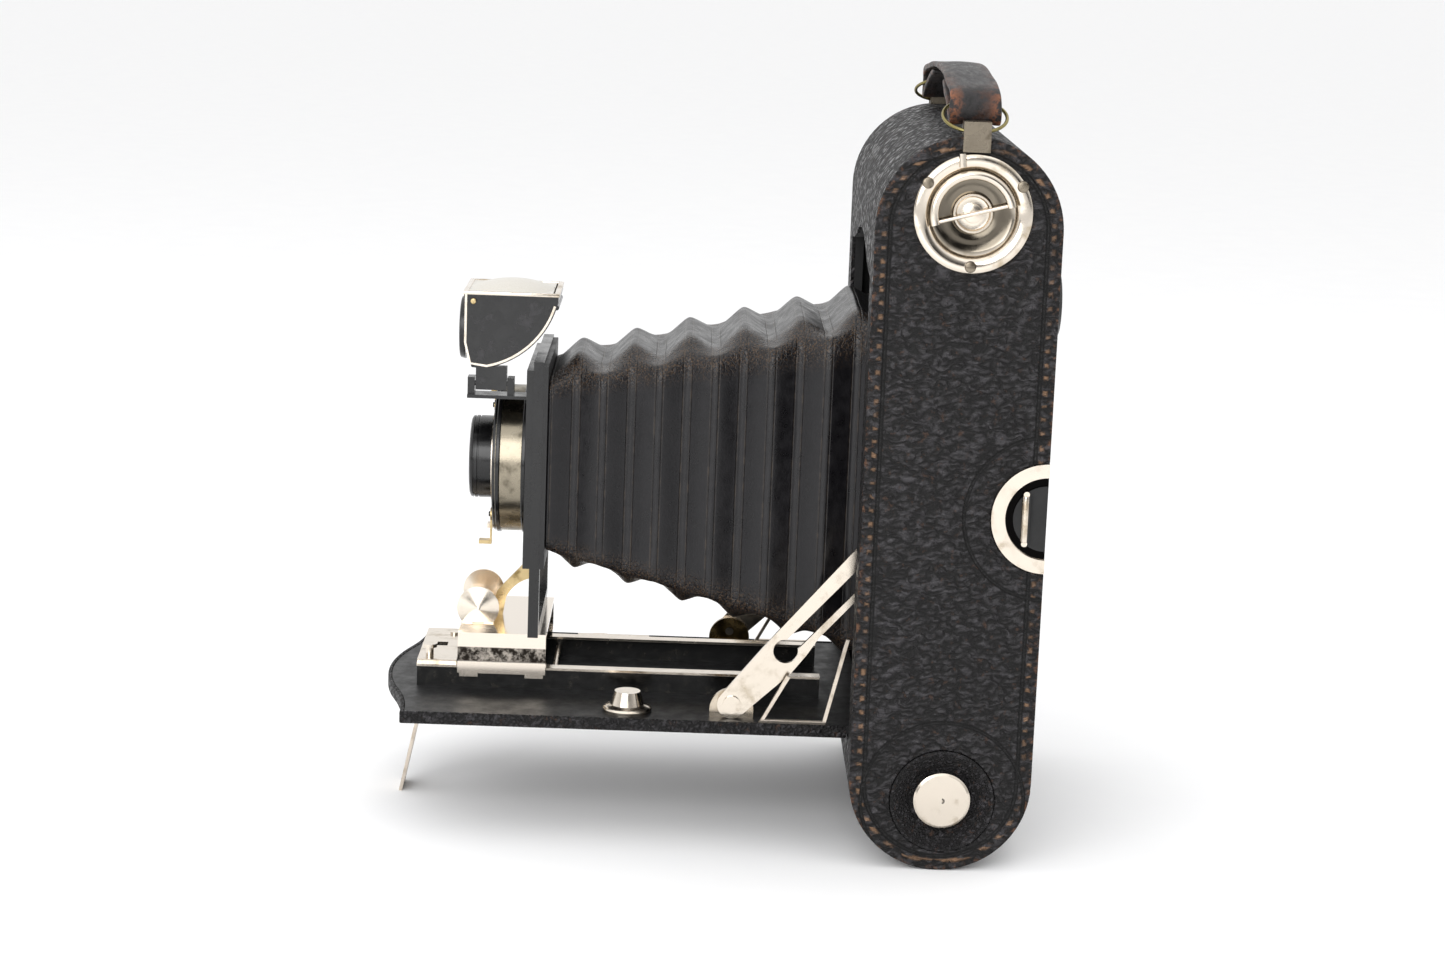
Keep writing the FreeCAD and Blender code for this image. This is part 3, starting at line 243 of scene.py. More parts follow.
def panel_border(node, axis=None):
    """The same for a panel that lies across X, and across Y or Z where an axis is given."""
    low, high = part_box(node)

    def measure(tree, place):
        x, y, z = apart(tree, place)
        sides = sums(tree, "SUBTRACT", (high[0] - low[0]) / 2, sums(tree, "ABSOLUTE", x))
        if axis is None:
            return sides, sums(tree, "ADD", y, z)
        other = (x, y, z)[axis]
        ends = sums(tree, "SUBTRACT", (high[axis] - low[axis]) / 2, sums(
            tree, "ABSOLUTE", sums(tree, "SUBTRACT", other, (high[axis] + low[axis]) / 2)))
        return sums(tree, "MINIMUM", sides, ends), sums(tree, "ADD", other, x)
    return measure


knob_y = (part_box("knob_cup")[0][1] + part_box("knob_cup")[1][1]) / 2
knob_z = (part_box("knob_cup")[0][2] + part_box("knob_cup")[1][2]) / 2
catch_z = (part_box("catch_plates")[0][2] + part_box("catch_plates")[1][2]) / 2
RINGS = [((side_high[0], knob_y, knob_z), 21.5 * MM), ((side_high[0], side_high[1], catch_z), 21.5 * MM)]
softened("side_hides", "side_leathers", "camera_case", hide(
    "embossed_cowhide_sides", (1.0, 0.45, 1.0), side_border, RINGS, beads=0.75, rubbed=0.8), 0.42 * MM)
dress(hide("embossed_cowhide_wrap", (0.35, 0.7, 0.7), panel_border("wrap_leather")), "wrap_leather")
dress(hide("embossed_cowhide_back", (0.5, 1.0, 1.0), panel_border("back_leather", 2), beads=0.25), "back_leather")
softened("bed_hide", "bed_leather", "camera_case", hide("embossed_cowhide_bed", (1.0, 1.0, 1.0), cell=1.2),
         0.4 * MM)
dress(hide("embossed_cowhide_cup", (1.0, 1.0, 1.0), cell=0.9), "knob_cup")

# ------------------------------------------------------------------ nickelled steel and brass fittings
# Small fittings are stamped brass or steel, polished and nickel plated: a warm white metal that
# mirrors the room, with soft clouds of tarnish and hairline scratches from a century in pockets.


def plating(name, colour, tarnish, roughness, scratch=0.02, cloud=7.0):
    made, tree, shader, place = finish(name, Metallic=1.0)
    haze = wire(tree, "TexNoise", {"Vector": place, "Scale": 1 / (cloud * MM), "Detail": 5.0, "Roughness": 0.62})
    tree.links.new(blend(tree, step(tree, haze, 0.5, 0.78), colour, tarnish), shader.inputs["Base Color"])
    tree.links.new(step(tree, haze, 0.3, 0.75, roughness, roughness + 0.16), shader.inputs["Roughness"])
    drawn = wire(tree, "Mapping", {"Vector": place, "Rotation": (0.4, 0.3, 0.5), "Scale": (1.0, 0.06, 1.0)})
    hair = wire(tree, "TexNoise", {"Vector": drawn, "Scale": 1 / (0.25 * MM), "Detail": 2.0})
    bump = wire(tree, "Bump", {"Strength": 0.35, "Distance": scratch * MM, "Height": hair})
    tree.links.new(bump, shader.inputs["Normal"])
    return made


nickel = plating("polished_nickel_plate", "#dcd2c4", "#a8987f", 0.13)
dull_nickel = plating("rubbed_nickel_plate", "#d8cdbf", "#94866f", 0.24, 0.03)
dark_nickel = plating("tarnished_nickel", "#857c6e", "#4d453a", 0.22, 0.03, 5.0)
aged_brass = plating("aged_lacquered_brass", "#8d8357", "#4f4730", 0.3, 0.04, 3.0)
lit_brass = plating("rubbed_brass", "#c2ad82", "#7d6a42", 0.25, 0.04, 4.0)
dress(dark_nickel, "strap_tabs")
dress(nickel, "struts",
      "strut_rivets", "supply_knob", "pinch_near", "pinch_far", "tripod_bush", "front_stop_plate")
dress(dull_nickel, "hinge_rod", "strut_studs", "cross_rod", "leg_bracket", "leg", "roller_top", "roller_bottom",
      "spring_wires", "focus_scale", "aperture_lever")
dress(aged_brass, "strap_rings")
dress(lit_brass, "brace", "release_lever", "speed_lever")

# ------------------------------------------------------------------ spools
# Turned birch cores with the flanges of one piece, darkened by handling.
made, tree, shader, place = finish("turned_birch", Roughness=0.6)
rings = wire(tree, "TexWave", {"Vector": place, "Scale": 1 / (8 * MM), "Distortion": 4.0, "Detail": 3.0})
tree.links.new(blend(tree, rings, "#6b4a2b", "#8f6a43"), shader.inputs["Base Color"])
dress(made, "take_up_spool", "supply_spool")

# ------------------------------------------------------------------ winding key
# A dished nickel plate held by three slotted screws; the hub's folding bail is half-round wire
# flattened and bent to a half circle, and turns on a thin pin through the hub.


def slotted_head(bm, centre, outward, radius, height, slot_turn):
    """A domed screw head with its slot, standing on centre and facing outward."""
    part = bmesh.new()
    bmesh.ops.create_circle(part, cap_ends=True, segments=28, radius=radius)
    top = bmesh.ops.extrude_face_region(part, geom=part.faces[:])["geom"]
    bmesh.ops.translate(part, vec=(0, 0, height), verts=[v for v in top if isinstance(v, bmesh.types.BMVert)])
    rim = [e for e in part.edges if all(v.co.z > height * 0.9 for v in e.verts)]
    bmesh.ops.bevel(part, geom=rim, offset=height * 0.55, segments=3, profile=0.5, affect="EDGES", material=-1)
    for side in (1, -1):
        bmesh.ops.bisect_plane(part, geom=part.verts[:] + part.edges[:] + part.faces[:],
                               plane_co=(0, side * radius * 0.17, 0), plane_no=(0, 1, 0))
    middle = [f for f in part.faces if f.normal.z > 0.3 and abs(f.calc_center_median().y) < radius * 0.16]
    sunk = bmesh.ops.extrude_face_region(part, geom=middle)["geom"]
    bmesh.ops.translate(part, vec=(0, 0, -height * 0.5), verts=[v for v in sunk if isinstance(v, bmesh.types.BMVert)])
    bmesh.ops.delete(part, geom=middle, context="FACES")
    lay = Vector((0, 0, 1)).rotation_difference(Vector(outward)).to_matrix() @ Matrix.Rotation(slot_turn, 3, "Z")
    bmesh.ops.transform(part, matrix=Matrix.Translation(centre) @ lay.to_4x4(), verts=part.verts)
    data = bpy.data.meshes.new("head")
    part.to_mesh(data)
    part.free()
    bm.from_mesh(data)
    bpy.data.meshes.remove(data)


def lathe(profile, centre, axis, segments=72):
    """Spin a closed outline of (along, radius) pairs in metres round an axis through centre."""
    axis = Vector(axis)
    out = Vector((0, 0, 1)) if axis.z < 0.5 else Vector((1, 0, 0))
    bm = bmesh.new()
    points = [bm.verts.new(Vector(centre) + axis * along + out * radius) for along, radius in profile]
    for pair in zip(points, points[1:] + points[:1]):
        bm.edges.new(pair)
    bmesh.ops.spin(bm, geom=bm.verts[:] + bm.edges[:], cent=centre, axis=axis, dvec=(0, 0, 0),
                   angle=2 * math.pi, steps=segments, use_merge=True)
    bmesh.ops.remove_doubles(bm, verts=bm.verts, dist=0.001 * MM)
    return bm


def add_rod(bm, start, end, radius, segments=20):
    """Add a plain rod between two points."""
    run = Vector(end) - Vector(start)
    lay = Matrix.Translation((Vector(start) + Vector(end)) / 2) @ run.to_track_quat("Z", "Y").to_matrix().to_4x4()
    bmesh.ops.create_cone(bm, cap_ends=True, segments=segments, radius1=radius, radius2=radius, depth=run.length, matrix=lay)


hub_low, hub_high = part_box("winding_hub")
key_y, key_z = (hub_low[1] + hub_high[1]) / 2, (hub_low[2] + hub_high[2]) / 2
key_axis = (0, key_y, key_z)
DISH = [(56.6, 4.1), (57.2, 5.2), (57.15, 7.4), (57.2, 9.4), (57.5, 10.4), (58.3, 11.15), (59.45, 11.75), (59.75, 12.4),
        (59.9, 13.3), (59.9, 14.2), (59.7, 15.0), (59.3, 15.3), (59.0, 15.3), (59.0, 11.9), (56.9, 10.4), (56.55, 7.2)]
bm = lathe([(x * MM, radius * MM) for x, radius in DISH], key_axis, (1, 0, 0), 96)
lug_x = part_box("key_plate")[1][0] - 0.95 * MM
add_rod(bm, (lug_x, key_y - 3.3 * MM, key_z + 11.9 * MM), (lug_x, key_y - 3.6 * MM, key_z + 15.3 * MM), 0.95 * MM)
dish, tree, shader, place = finish("nickel_tarnished_in_the_dish", Metallic=1.0)
x, y, z = apart(tree, place)
off = sums(tree, "SQRT", sums(tree, "ADD", sums(tree, "POWER", sums(tree, "SUBTRACT", y, key_y), 2.0),
                              sums(tree, "POWER", sums(tree, "SUBTRACT", z, key_z), 2.0)))
tarnish = step(tree, off, 9.4 * MM, 11.9 * MM, 1.0, 0.0)
cloud = wire(tree, "TexNoise", {"Vector": place, "Scale": 1 / (4 * MM), "Detail": 5.0})
tree.links.new(blend(tree, tarnish, blend(tree, step(tree, cloud, 0.5, 0.8), "#dcd2c4", "#b0a188"), "#6f685d"),
               shader.inputs["Base Color"])
tree.links.new(step(tree, cloud, 0.3, 0.8, 0.1, 0.24), shader.inputs["Roughness"])
settle("key_dish", bm, "camera_case", dish, ("key_plate",), smooth=50)

SOCKET = [(hub_low[0] / MM, 0.3), (hub_low[0] / MM, 3.9), (57.35, 3.9), (57.45, 5.1), (58.35, 5.1), (58.5, 4.95), (58.5, 4.5),
          (58.3, 4.3), (57.7, 4.1), (57.6, 3.2), (57.7, 2.5), (58.35, 2.35), (58.45, 2.1), (58.45, 0.3)]
bm = lathe([(x * MM, radius * MM) for x, radius in SOCKET], key_axis, (1, 0, 0))
bmesh.ops.holes_fill(bm, edges=[e for e in bm.edges if e.is_boundary], sides=0)
add_rod(bm, (hub_low[0] + 0.5 * MM, key_y, key_z), (58.4 * MM, key_y, key_z), 0.4 * MM)
settle("key_socket", bm, "winder", nickel, ("winding_hub",))

bm = bmesh.new()
for across, up, slot_turn in ((-11.9, 7.6, 0.5), (12.2, 7.4, 2.2), (-0.1, -13.4, 1.6)):
    slotted_head(bm, (59.75 * MM, key_y + across * MM, key_z + up * MM), (1, 0, 0), 1.5 * MM, 0.75 * MM, slot_turn)
settle("plate_screws", bm, "camera_case", dark_nickel, ("key_plate_screws",))

BAIL_TILT = math.radians(15)
bail_x = (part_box("winding_bail")[0][0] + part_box("winding_bail")[1][0]) / 2
bm = bmesh.new()
bmesh.ops.create_circle(bm, cap_ends=True, segments=20, radius=1.1 * MM)
bmesh.ops.rotate(bm, matrix=Matrix.Rotation(math.radians(90), 3, "X"), verts=bm.verts)
bmesh.ops.translate(bm, vec=(9.95 * MM, 0, 0), verts=bm.verts)
bmesh.ops.rotate(bm, matrix=Matrix.Rotation(-math.radians(3), 3, "Z"), verts=bm.verts)
bmesh.ops.spin(bm, geom=bm.faces[:], cent=(0, 0, 0), axis=(0, 0, 1), dvec=(0, 0, 0), angle=math.radians(186), steps=60)
bmesh.ops.scale(bm, vec=(1, 1, 0.8), verts=bm.verts)
upright = Matrix(((0, 0, 1), (1, 0, 0), (0, 1, 0))).to_4x4()
bmesh.ops.transform(bm, matrix=Matrix.Translation((bail_x + 0.95 * MM, key_y, key_z)) @ Matrix.Rotation(BAIL_TILT, 4, "X")
                    @ upright, verts=bm.verts)
reach = Vector((0, math.cos(BAIL_TILT), math.sin(BAIL_TILT))) * 9.6 * MM
pin_centre = Vector((bail_x, key_y, key_z))
add_rod(bm, pin_centre - reach, pin_centre + reach, 0.55 * MM)
settle("key_bail", bm, "winder_bail", nickel, ("winding_bail",))

# ------------------------------------------------------------------ back catches
# Each catch is a stamped nickel half ring let into the side, over a well whose shade is painted near-black on the
# plate.  A half-round finger bar stands up in the well between two small dark bosses, on the sliding plate.
catch_low, catch_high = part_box("catch_near")
ring_plate, tree, shader, place = finish("nickel_ring_painted_shade_well", Metallic=1.0)
x, y, z = apart(tree, place)
off = sums(tree, "SQRT", sums(tree, "ADD", sums(tree, "POWER", sums(tree, "SUBTRACT", y, side_high[1]), 2.0),
                              sums(tree, "POWER", sums(tree, "SUBTRACT", z, catch_z), 2.0)))
# painted shade: inside the ring the plate is coloured near-black, standing in for the shade in the well under the bar
recess_shade = step(tree, off, 10.7 * MM, 10.9 * MM, 1.0, 0.0)
cloud = wire(tree, "TexNoise", {"Vector": place, "Scale": 1 / (5 * MM), "Detail": 5.0})
tree.links.new(blend(tree, recess_shade, blend(tree, step(tree, cloud, 0.5, 0.8), "#dcd2c4", "#a8987f"), "#0c0b0b"),
               shader.inputs["Base Color"])
tree.links.new(step(tree, cloud, 0.3, 0.8, 0.15, 0.32), shader.inputs["Roughness"])
dress(ring_plate, "catch_plates")
dress(dull_black, "catch_near", "catch_far")
for name, body, side in (("catch_bar_near", "near_catch", 1), ("catch_bar_far", "far_catch", -1)):
    bar_x = side * (catch_high[0] - 0.85 * MM)
    bar_y = (catch_low[1] + catch_high[1]) / 2 - 1.2 * MM
    bm = bmesh.new()
    add_rod(bm, (bar_x, bar_y, catch_z - 6.2 * MM), (bar_x, bar_y, catch_z + 6.2 * MM), 1.05 * MM)
    bmesh.ops.bevel(bm, geom=[e for e in bm.edges if len(e.link_faces) == 2 and e.calc_face_angle() > 1.2], offset=0.35 * MM,
                    segments=3, profile=0.5, affect="EDGES", material=-1)
    for rise in (-6.5, 6.5):
        add_rod(bm, (bar_x - side * 0.85 * MM, bar_y, catch_z + rise * MM), (bar_x + side * 0.7 * MM, bar_y, catch_z + rise * MM),
                0.8 * MM)
    settle(name, bm, body, nickel)

# ------------------------------------------------------------------ red window
# Dyed glass in a japanned ring, held by two rivets.
gloss_black = lacquer("black_baked_enamel", "#070708", "#1b1a1b", 0.16, ripple=0.03)
dress(gloss_black, "window_bezel", "standard_frame", "rear_lens_cell", "shutter_face", "finder_bracket", "lens_board")
made, tree, shader, place = finish("ruby_glass", IOR=1.52, Roughness=0.06)
swirl = wire(tree, "TexNoise", {"Vector": place, "Scale": 1 / (6 * MM)})
tree.links.new(blend(tree, swirl, "#4a0508", "#6e0a0e"), shader.inputs["Base Color"])
dress(made, "ruby_glass")

# ------------------------------------------------------------------ bed, bellows frame and carriage
# The bed panel is steel with a satin stove finish, scuffed where the carriage and fingers rub.
satin_black = lacquer("satin_stove_black", "#0b0b0c", "#1d1b1b", 0.4, patch=5.0)
dress(satin_black, "bed_panel", "bellows_frame")
# The rails are black-finished steel, polished bright along the top flanges that the carriage grips.
rail_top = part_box("rails")[1][2]
slide, tree, shader, place = finish("blacked_steel_bright_top")
x, y, z = apart(tree, place)
bright = step(tree, z, rail_top - 0.7 * MM, rail_top - 0.55 * MM)
scuff = wire(tree, "TexNoise", {"Vector": place, "Scale": 1 / (3 * MM), "Detail": 6.0, "Roughness": 0.7})
tree.links.new(blend(tree, bright, blend(tree, step(tree, scuff, 0.5, 0.75), "#0a0a0a", "#2a2722"), "#d6ccbe"),
               shader.inputs["Base Color"])
tree.links.new(bright, shader.inputs["Metallic"])
tree.links.new(step(tree, scuff, 0.3, 0.75, 0.12, 0.3), shader.inputs["Roughness"])
dress(slide, "rails")
# The carriage is nickelled steel whose plating has worn dark and blotchy down its sides.
worn, tree, shader, place = finish("worn_nickel_over_steel", Metallic=1.0)
x, y, z = apart(tree, place)
carriage_low, carriage_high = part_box("carriage")
blotch = wire(tree, "TexNoise", {"Vector": place, "Scale": 1 / (2.6 * MM), "Detail": 6.0, "Roughness": 0.7})
band = sums(tree, "MULTIPLY", step(tree, z, carriage_high[2] - 4.2 * MM, carriage_high[2] - 3.8 * MM, 1.0, 0.0),
            step(tree, z, carriage_low[2] + 4.2 * MM, carriage_low[2] + 4.6 * MM, 0.0, 1.0))
bare = sums(tree, "MULTIPLY", band, step(tree, blotch, 0.4, 0.62, 1.0, 0.45))
tree.links.new(blend(tree, bare, "#e2d8cb", "#2a2622"), shader.inputs["Base Color"])
tree.links.new(step(tree, bare, 0.0, 0.8, 0.14, 0.4), shader.inputs["Roughness"])
pitted = sums(tree, "MULTIPLY", blotch, band)
tree.links.new(wire(tree, "Bump", {"Strength": 0.4, "Distance": 0.08 * MM, "Height": pitted}), shader.inputs["Normal"])
dress(worn, "carriage")
# The bush's brim is spun brass, nickelled, with a sloping shoulder.
bush_low, bush_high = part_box("tripod_bush")
bush_axis = ((bush_low[0] + bush_high[0]) / 2, (bush_low[1] + bush_high[1]) / 2, 0)
bed_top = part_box("bed_panel")[1][2]
BRIM = [(0.0, 4.0), (0.0, 6.3), (0.3, 6.6), (0.8, 6.65), (1.2, 6.4), (1.5, 5.7), (1.9, 4.6), (2.4, 4.05), (3.2, 3.85), (3.2, 3.4)]
bm = lathe([(bed_top + rise * MM, radius * MM) for rise, radius in BRIM], bush_axis, (0, 0, 1))
settle("bush_brim", bm, "camera_case", nickel)

# The lugs that carry the struts are one pair of stampings; the far one has lost its nickel.
lug, tree, shader, place = finish("nickel_worn_to_brass", Metallic=1.0)
x, y, z = apart(tree, place)
cloud = wire(tree, "TexNoise", {"Vector": place, "Scale": 1 / (3 * MM), "Detail": 5.0})
tree.links.new(blend(tree, step(tree, x, -1 * MM, 1 * MM), blend(tree, cloud, "#6b5636", "#a18a5e"),
                     blend(tree, cloud, "#dcd2c4", "#a8987f")), shader.inputs["Base Color"])
tree.links.new(step(tree, cloud, 0.3, 0.8, 0.16, 0.34), shader.inputs["Roughness"])
dress(lug, "strut_ears")

# ------------------------------------------------------------------ bellows
# Thin black skiver over stiff card ribs, folded by hand.  Ridges on the top and bottom stand where
# the sides fall in, so each corner is a row of small soft lozenges, and these have crazed and browned.
FOLDS = 8
bellows_low, bellows_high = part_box("bellows")
front_low, front_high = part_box("bellows_frame")
front_half, rear_half = 25.0 * MM, bellows_high[0]
front_bottom, front_top = front_low[2] + 1.5 * MM, front_high[2] - 1.0 * MM
PITCH = (bellows_high[1] - bellows_low[1]) / FOLDS


def across(start, end, count):
    """Points from start to end, leaving out the last."""
    return [start.lerp(end, i / count) for i in range(count)]


def fold_row(y, wave):
    """One row round the bellows; wave is 1 where the top and bottom stand out and -1 where the sides do."""
    t = (y - bellows_low[1]) / (bellows_high[1] - bellows_low[1])
    half = front_half + (rear_half - front_half) * t - 1.7 * MM
    top = front_top + (bellows_high[2] - front_top) * t - 0.8 * MM
    bottom = front_bottom + (bellows_low[2] - front_bottom) * t + 0.6 * MM
    inset = (9.5 - 1.5 * t) * MM
    side = half - 1.9 * MM * wave
    rise = 2.3 * MM * wave
    up = [Vector((-(half - inset), y, top + rise)), Vector((half - inset, y, top + rise)),
          Vector((side, y, top - 2.8 * MM)), Vector((side, y, bottom + 2.8 * MM)),
          Vector((half - inset, y, bottom - rise)), Vector((-(half - inset), y, bottom - rise)),
          Vector((-side, y, bottom + 2.8 * MM)), Vector((-side, y, top - 2.8 * MM))]
    counts = (7, 3, 9, 3, 7, 3, 9, 3)
    row = []
    for index, count in enumerate(counts):
        row += across(up[index], up[(index + 1) % 8], count)
    return row


def drawn_through(rows, closed):
    """A skin drawn through rows of points, each row extruded from the one before it."""
    bm = bmesh.new()
    row = [bm.verts.new(point) for point in rows[0]]
    edges = [bm.edges.new(pair) for pair in zip(row, row[1:] + (row[:1] if closed else []))]
    for points in rows[1:]:
        made = bmesh.ops.extrude_edge_only(bm, edges=edges)["geom"]
        fresh = {tuple(v.co): v for v in made if isinstance(v, bmesh.types.BMVert)}
        row = [fresh[tuple(v.co)] for v in row]
        edges = [e for e in made if isinstance(e, bmesh.types.BMEdge) and all(v in set(row) for v in e.verts)]
        for vertex, point in zip(row, points):
            vertex.co = point
    return bm


rows = []
for fold in range(FOLDS):
    for part, wave in ((0.0, -1), (0.06, -0.96), (0.25, 0.0), (0.44, 0.97), (0.5, 1.05), (0.56, 0.97), (0.75, 0.0), (0.94, -0.96)):
        rows.append(fold_row(bellows_low[1] + PITCH * (fold + part), wave))
rows.append(fold_row(bellows_high[1], -1))
corner = {index for start in (7, 19, 29, 41) for index in range(start, start + 4)}
bm = drawn_through(rows, True)
bm.verts.ensure_lookup_table()
bm.verts.index_update()
count = len(rows[0])
edge_layer = bm.verts.layers.float.new("corner")
lookup = {tuple(round(c, 7) for c in point): index for row in rows for index, point in enumerate(row)}
for vertex in bm.verts:
    index = lookup.get(tuple(round(c, 7) for c in vertex.co), 0)
    near = 1.0 if (index % count) in corner else 0.0
    vertex[edge_layer] = near
    slack = noise.noise_vector(vertex.co * 70) * 0.35 * MM + noise.noise_vector(vertex.co * 330) * (0.12 + 0.5 * near) * MM
    inner = bellows_low[1] + 1 * MM < vertex.co.y < bellows_high[1] - 1 * MM
    vertex.co += slack if inner else Vector()

skiver, tree, shader, place = finish("creased_skiver", IOR=1.5, Specular_IOR_Level=0.36)
x, y, z = apart(tree, place)
phase = sums(tree, "MULTIPLY", sums(tree, "SUBTRACT", y, bellows_low[1]), 2 / PITCH)
swing = sums(tree, "ABSOLUTE", sums(tree, "SUBTRACT", sums(tree, "FRACT", phase), 0.5))
press = line(tree, swing, 0.36, 0.04)
corner_wear = wire(tree, "Attribute", {}, attribute_name="corner").node.outputs["Fac"]
fine = wire(tree, "TexNoise", {"Vector": place, "Scale": 1 / (0.5 * MM), "Detail": 4.0, "Roughness": 0.6})
patchy = wire(tree, "TexNoise", {"Vector": place, "Scale": 1 / (4 * MM), "Detail": 5.0, "Roughness": 0.65})
crack = wire(tree, "TexVoronoi", {"Vector": place, "Scale": 1 / (1.5 * MM)}, feature="DISTANCE_TO_EDGE")
crazed = sums(tree, "MULTIPLY", corner_wear, step(tree, crack, 0.0, 0.12, 1.0, 0.0))
colour = blend(tree, step(tree, patchy, 0.35, 0.7), "#121113", "#1c1b1d")
colour = blend(tree, sums(tree, "MULTIPLY", press, step(tree, patchy, 0.45, 0.65, 0.1, 0.7)), colour, "#3c332a")
colour = blend(tree, sums(tree, "MULTIPLY", sums(tree, "MULTIPLY", corner_wear, 0.6), step(tree, fine, 0.5, 0.62)),
               colour, "#5a4632")
tree.links.new(colour, shader.inputs["Base Color"])
tree.links.new(step(tree, patchy, 0.3, 0.7, 0.26, 0.42), shader.inputs["Roughness"])
relief = sums(tree, "ADD", sums(tree, "MULTIPLY", fine, 0.5), sums(tree, "MULTIPLY", press, -0.9))
relief = sums(tree, "SUBTRACT", relief, crazed)
tree.links.new(wire(tree, "Bump", {"Strength": 0.8, "Distance": 0.14 * MM, "Height": relief}), shader.inputs["Normal"])
bellows = settle("bellows_skin", bm, "camera_case", skiver, ("bellows",), smooth=180)
wall = bellows.modifiers.new("card_and_skiver", "SOLIDIFY")
wall.thickness = 0.7 * MM
wall.offset = -1
soften = bellows.modifiers.new("soft_folds", "SUBSURF")
soften.levels = soften.render_levels = 1
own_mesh(bellows)

# ------------------------------------------------------------------ shutter and lens
# The shutter's case is a shallow nickelled drum with an enamelled face; the lens cell is turned brass,
# enamelled black, with a ribbed grip at its front edge.
barrel_low, barrel_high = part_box("lens_barrel")
lens_z = (barrel_low[2] + barrel_high[2]) / 2
profile = [(0.0, 8.6), (0.0, 10.6), (0.35, 11.2), (0.9, 11.4), (1.0, 11.1), (1.3, 11.1), (1.4, 11.4), (2.1, 11.4), (2.2, 11.1),
           (2.5, 11.1), (2.6, 11.4), (6.1, 11.4), (6.3, 11.0), (6.6, 11.0), (6.8, 11.4), (6.95, 11.3), (6.95, 10.0),
           (13.4, 10.0), (13.4, 7.2), (2.8, 7.2), (2.8, 8.6)]
bm = lathe([(barrel_low[1] + depth * MM, radius * MM) for depth, radius in profile], (0, 0, lens_z), (0, 1, 0))
settle("lens_cell", bm, "lens_carriage", gloss_black, ("lens_barrel",))
# partly real and partly painted reflection: the drum's dark olive colour and its darker clouds are brassed, tarnished
# nickel and also stand in for the dark reflections in its polished faces
old_nickel_and_reflections = plating("brassed_nickel_drum_and_painted_reflections", "#928a7a", "#332d22", 0.2, 0.03, 6.0)
dress(old_nickel_and_reflections, "shutter_case")
case_low, case_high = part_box("shutter_case")
drum = case_high[0]
for name, at in (("drum_front_bead", case_low[1] + 0.1 * MM), ("drum_rear_bead", case_high[1] - 1.3 * MM)):
    BEAD = [(0.0, -0.4), (0.0, 0.25), (0.25, 0.45), (0.95, 0.45), (1.2, 0.25), (1.2, -0.4)]
    bm = lathe([(at + along * MM, drum + rise * MM) for along, rise in BEAD], (0, 0, lens_z), (0, 1, 0), 96)
    settle(name, bm, "lens_carriage", gloss_black)

made, tree, shader, place = finish("coated_crown_glass", IOR=1.52, Roughness=0.02, Transmission_Weight=0.6)
depth = wire(tree, "TexNoise", {"Vector": place, "Scale": 1 / (9 * MM)})
tree.links.new(blend(tree, depth, "#20242c", "#2c3038"), shader.inputs["Base Color"])
dress(made, "front_lens", "finder_lens")

# ------------------------------------------------------------------ finder
# A folded sheet-metal box, enamelled, with nickel edging; a small lens, a mirror and a ground-glass top.
chipped = lacquer("chipped_enamel", "#0b0b0c", "#2b292c", 0.12, patch=6.0, ripple=0.03)
dress(chipped, "finder_body")
made, tree, shader, place = finish("silvered_mirror", Metallic=1.0, Roughness=0.05)
spots = wire(tree, "TexNoise", {"Vector": place, "Scale": 1 / (3 * MM), "Detail": 4.0})
tree.links.new(blend(tree, step(tree, spots, 0.6, 0.75), "#d8d6d0", "#5a564c"), shader.inputs["Base Color"])
dress(made, "finder_mirror")
made, tree, shader, place = finish("ground_glass", IOR=1.5, Roughness=0.3, Transmission_Weight=0.25)
grit = wire(tree, "TexNoise", {"Vector": place, "Scale": 1 / (0.4 * MM), "Detail": 3.0})
tree.links.new(blend(tree, grit, "#cfc9bd", "#e9e6de"), shader.inputs["Base Color"])
dress(made, "finder_glass")

finder_low, finder_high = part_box("finder_body")
knuckle_drop = 5.8 * MM
floor_z = finder_low[2] + knuckle_drop


def beading(path, width, thickness, outward):
    """A thin strip swept along a path, standing out from a flat side."""
    rows = []
    for index, point in enumerate(path):
        ahead = path[min(index + 1, len(path) - 1)] - path[max(index - 1, 0)]
        over = ahead.normalized().cross(Vector(outward)) * width / 2
        out = Vector(outward) * thickness
        rows.append([point - over, point - over + out, point + over + out, point + over])
    bm = drawn_through(rows, True)
    bmesh.ops.holes_fill(bm, edges=[e for e in bm.edges if e.is_boundary], sides=0)
    return bm


def finder_edge(x):
    """The finder's side outline: down its front, round its bottom and up to the back corner."""
    front, top = finder_low[1] + 0.6 * MM, finder_high[2]
    path = [Vector((x, front, top - 0.3 * MM)), Vector((x, front, floor_z + 7 * MM)), Vector((x, front + 1.4 * MM, floor_z + 1.4 * MM))]
    for step_count in range(15):
        turn = math.radians(-78 + step_count * 62 / 14)
        path.append(Vector((x, finder_low[1] + (1.52 + 23.9 * math.cos(turn)) * MM, floor_z + (24.18 + 23.9 * math.sin(turn)) * MM)))
    return path


for name, x, side in (("finder_edging_near", finder_high[0], 1), ("finder_edging_far", finder_low[0], -1)):
    settle(name, beading(finder_edge(x), 0.6 * MM, 0.3 * MM, (side, 0, 0)), "finder", nickel)
bm = bmesh.new()
bmesh.ops.create_grid(bm, x_segments=1, y_segments=1, size=0.5)
bmesh.ops.scale(bm, vec=(finder_high[0] - finder_low[0] + 0.5 * MM, finder_high[1] - finder_low[1] + 0.5 * MM, 1),
                verts=bm.verts)
bmesh.ops.translate(bm, vec=((finder_high[0] + finder_low[0]) / 2, (finder_high[1] + finder_low[1]) / 2,
                             finder_high[2] - 0.5 * MM), verts=bm.verts)
bmesh.ops.inset_region(bm, faces=bm.faces[:], thickness=1.4 * MM, use_boundary=True, use_even_offset=True)
bmesh.ops.delete(bm, geom=[f for f in bm.faces if f.calc_area() > 200 * MM * MM], context="FACES")
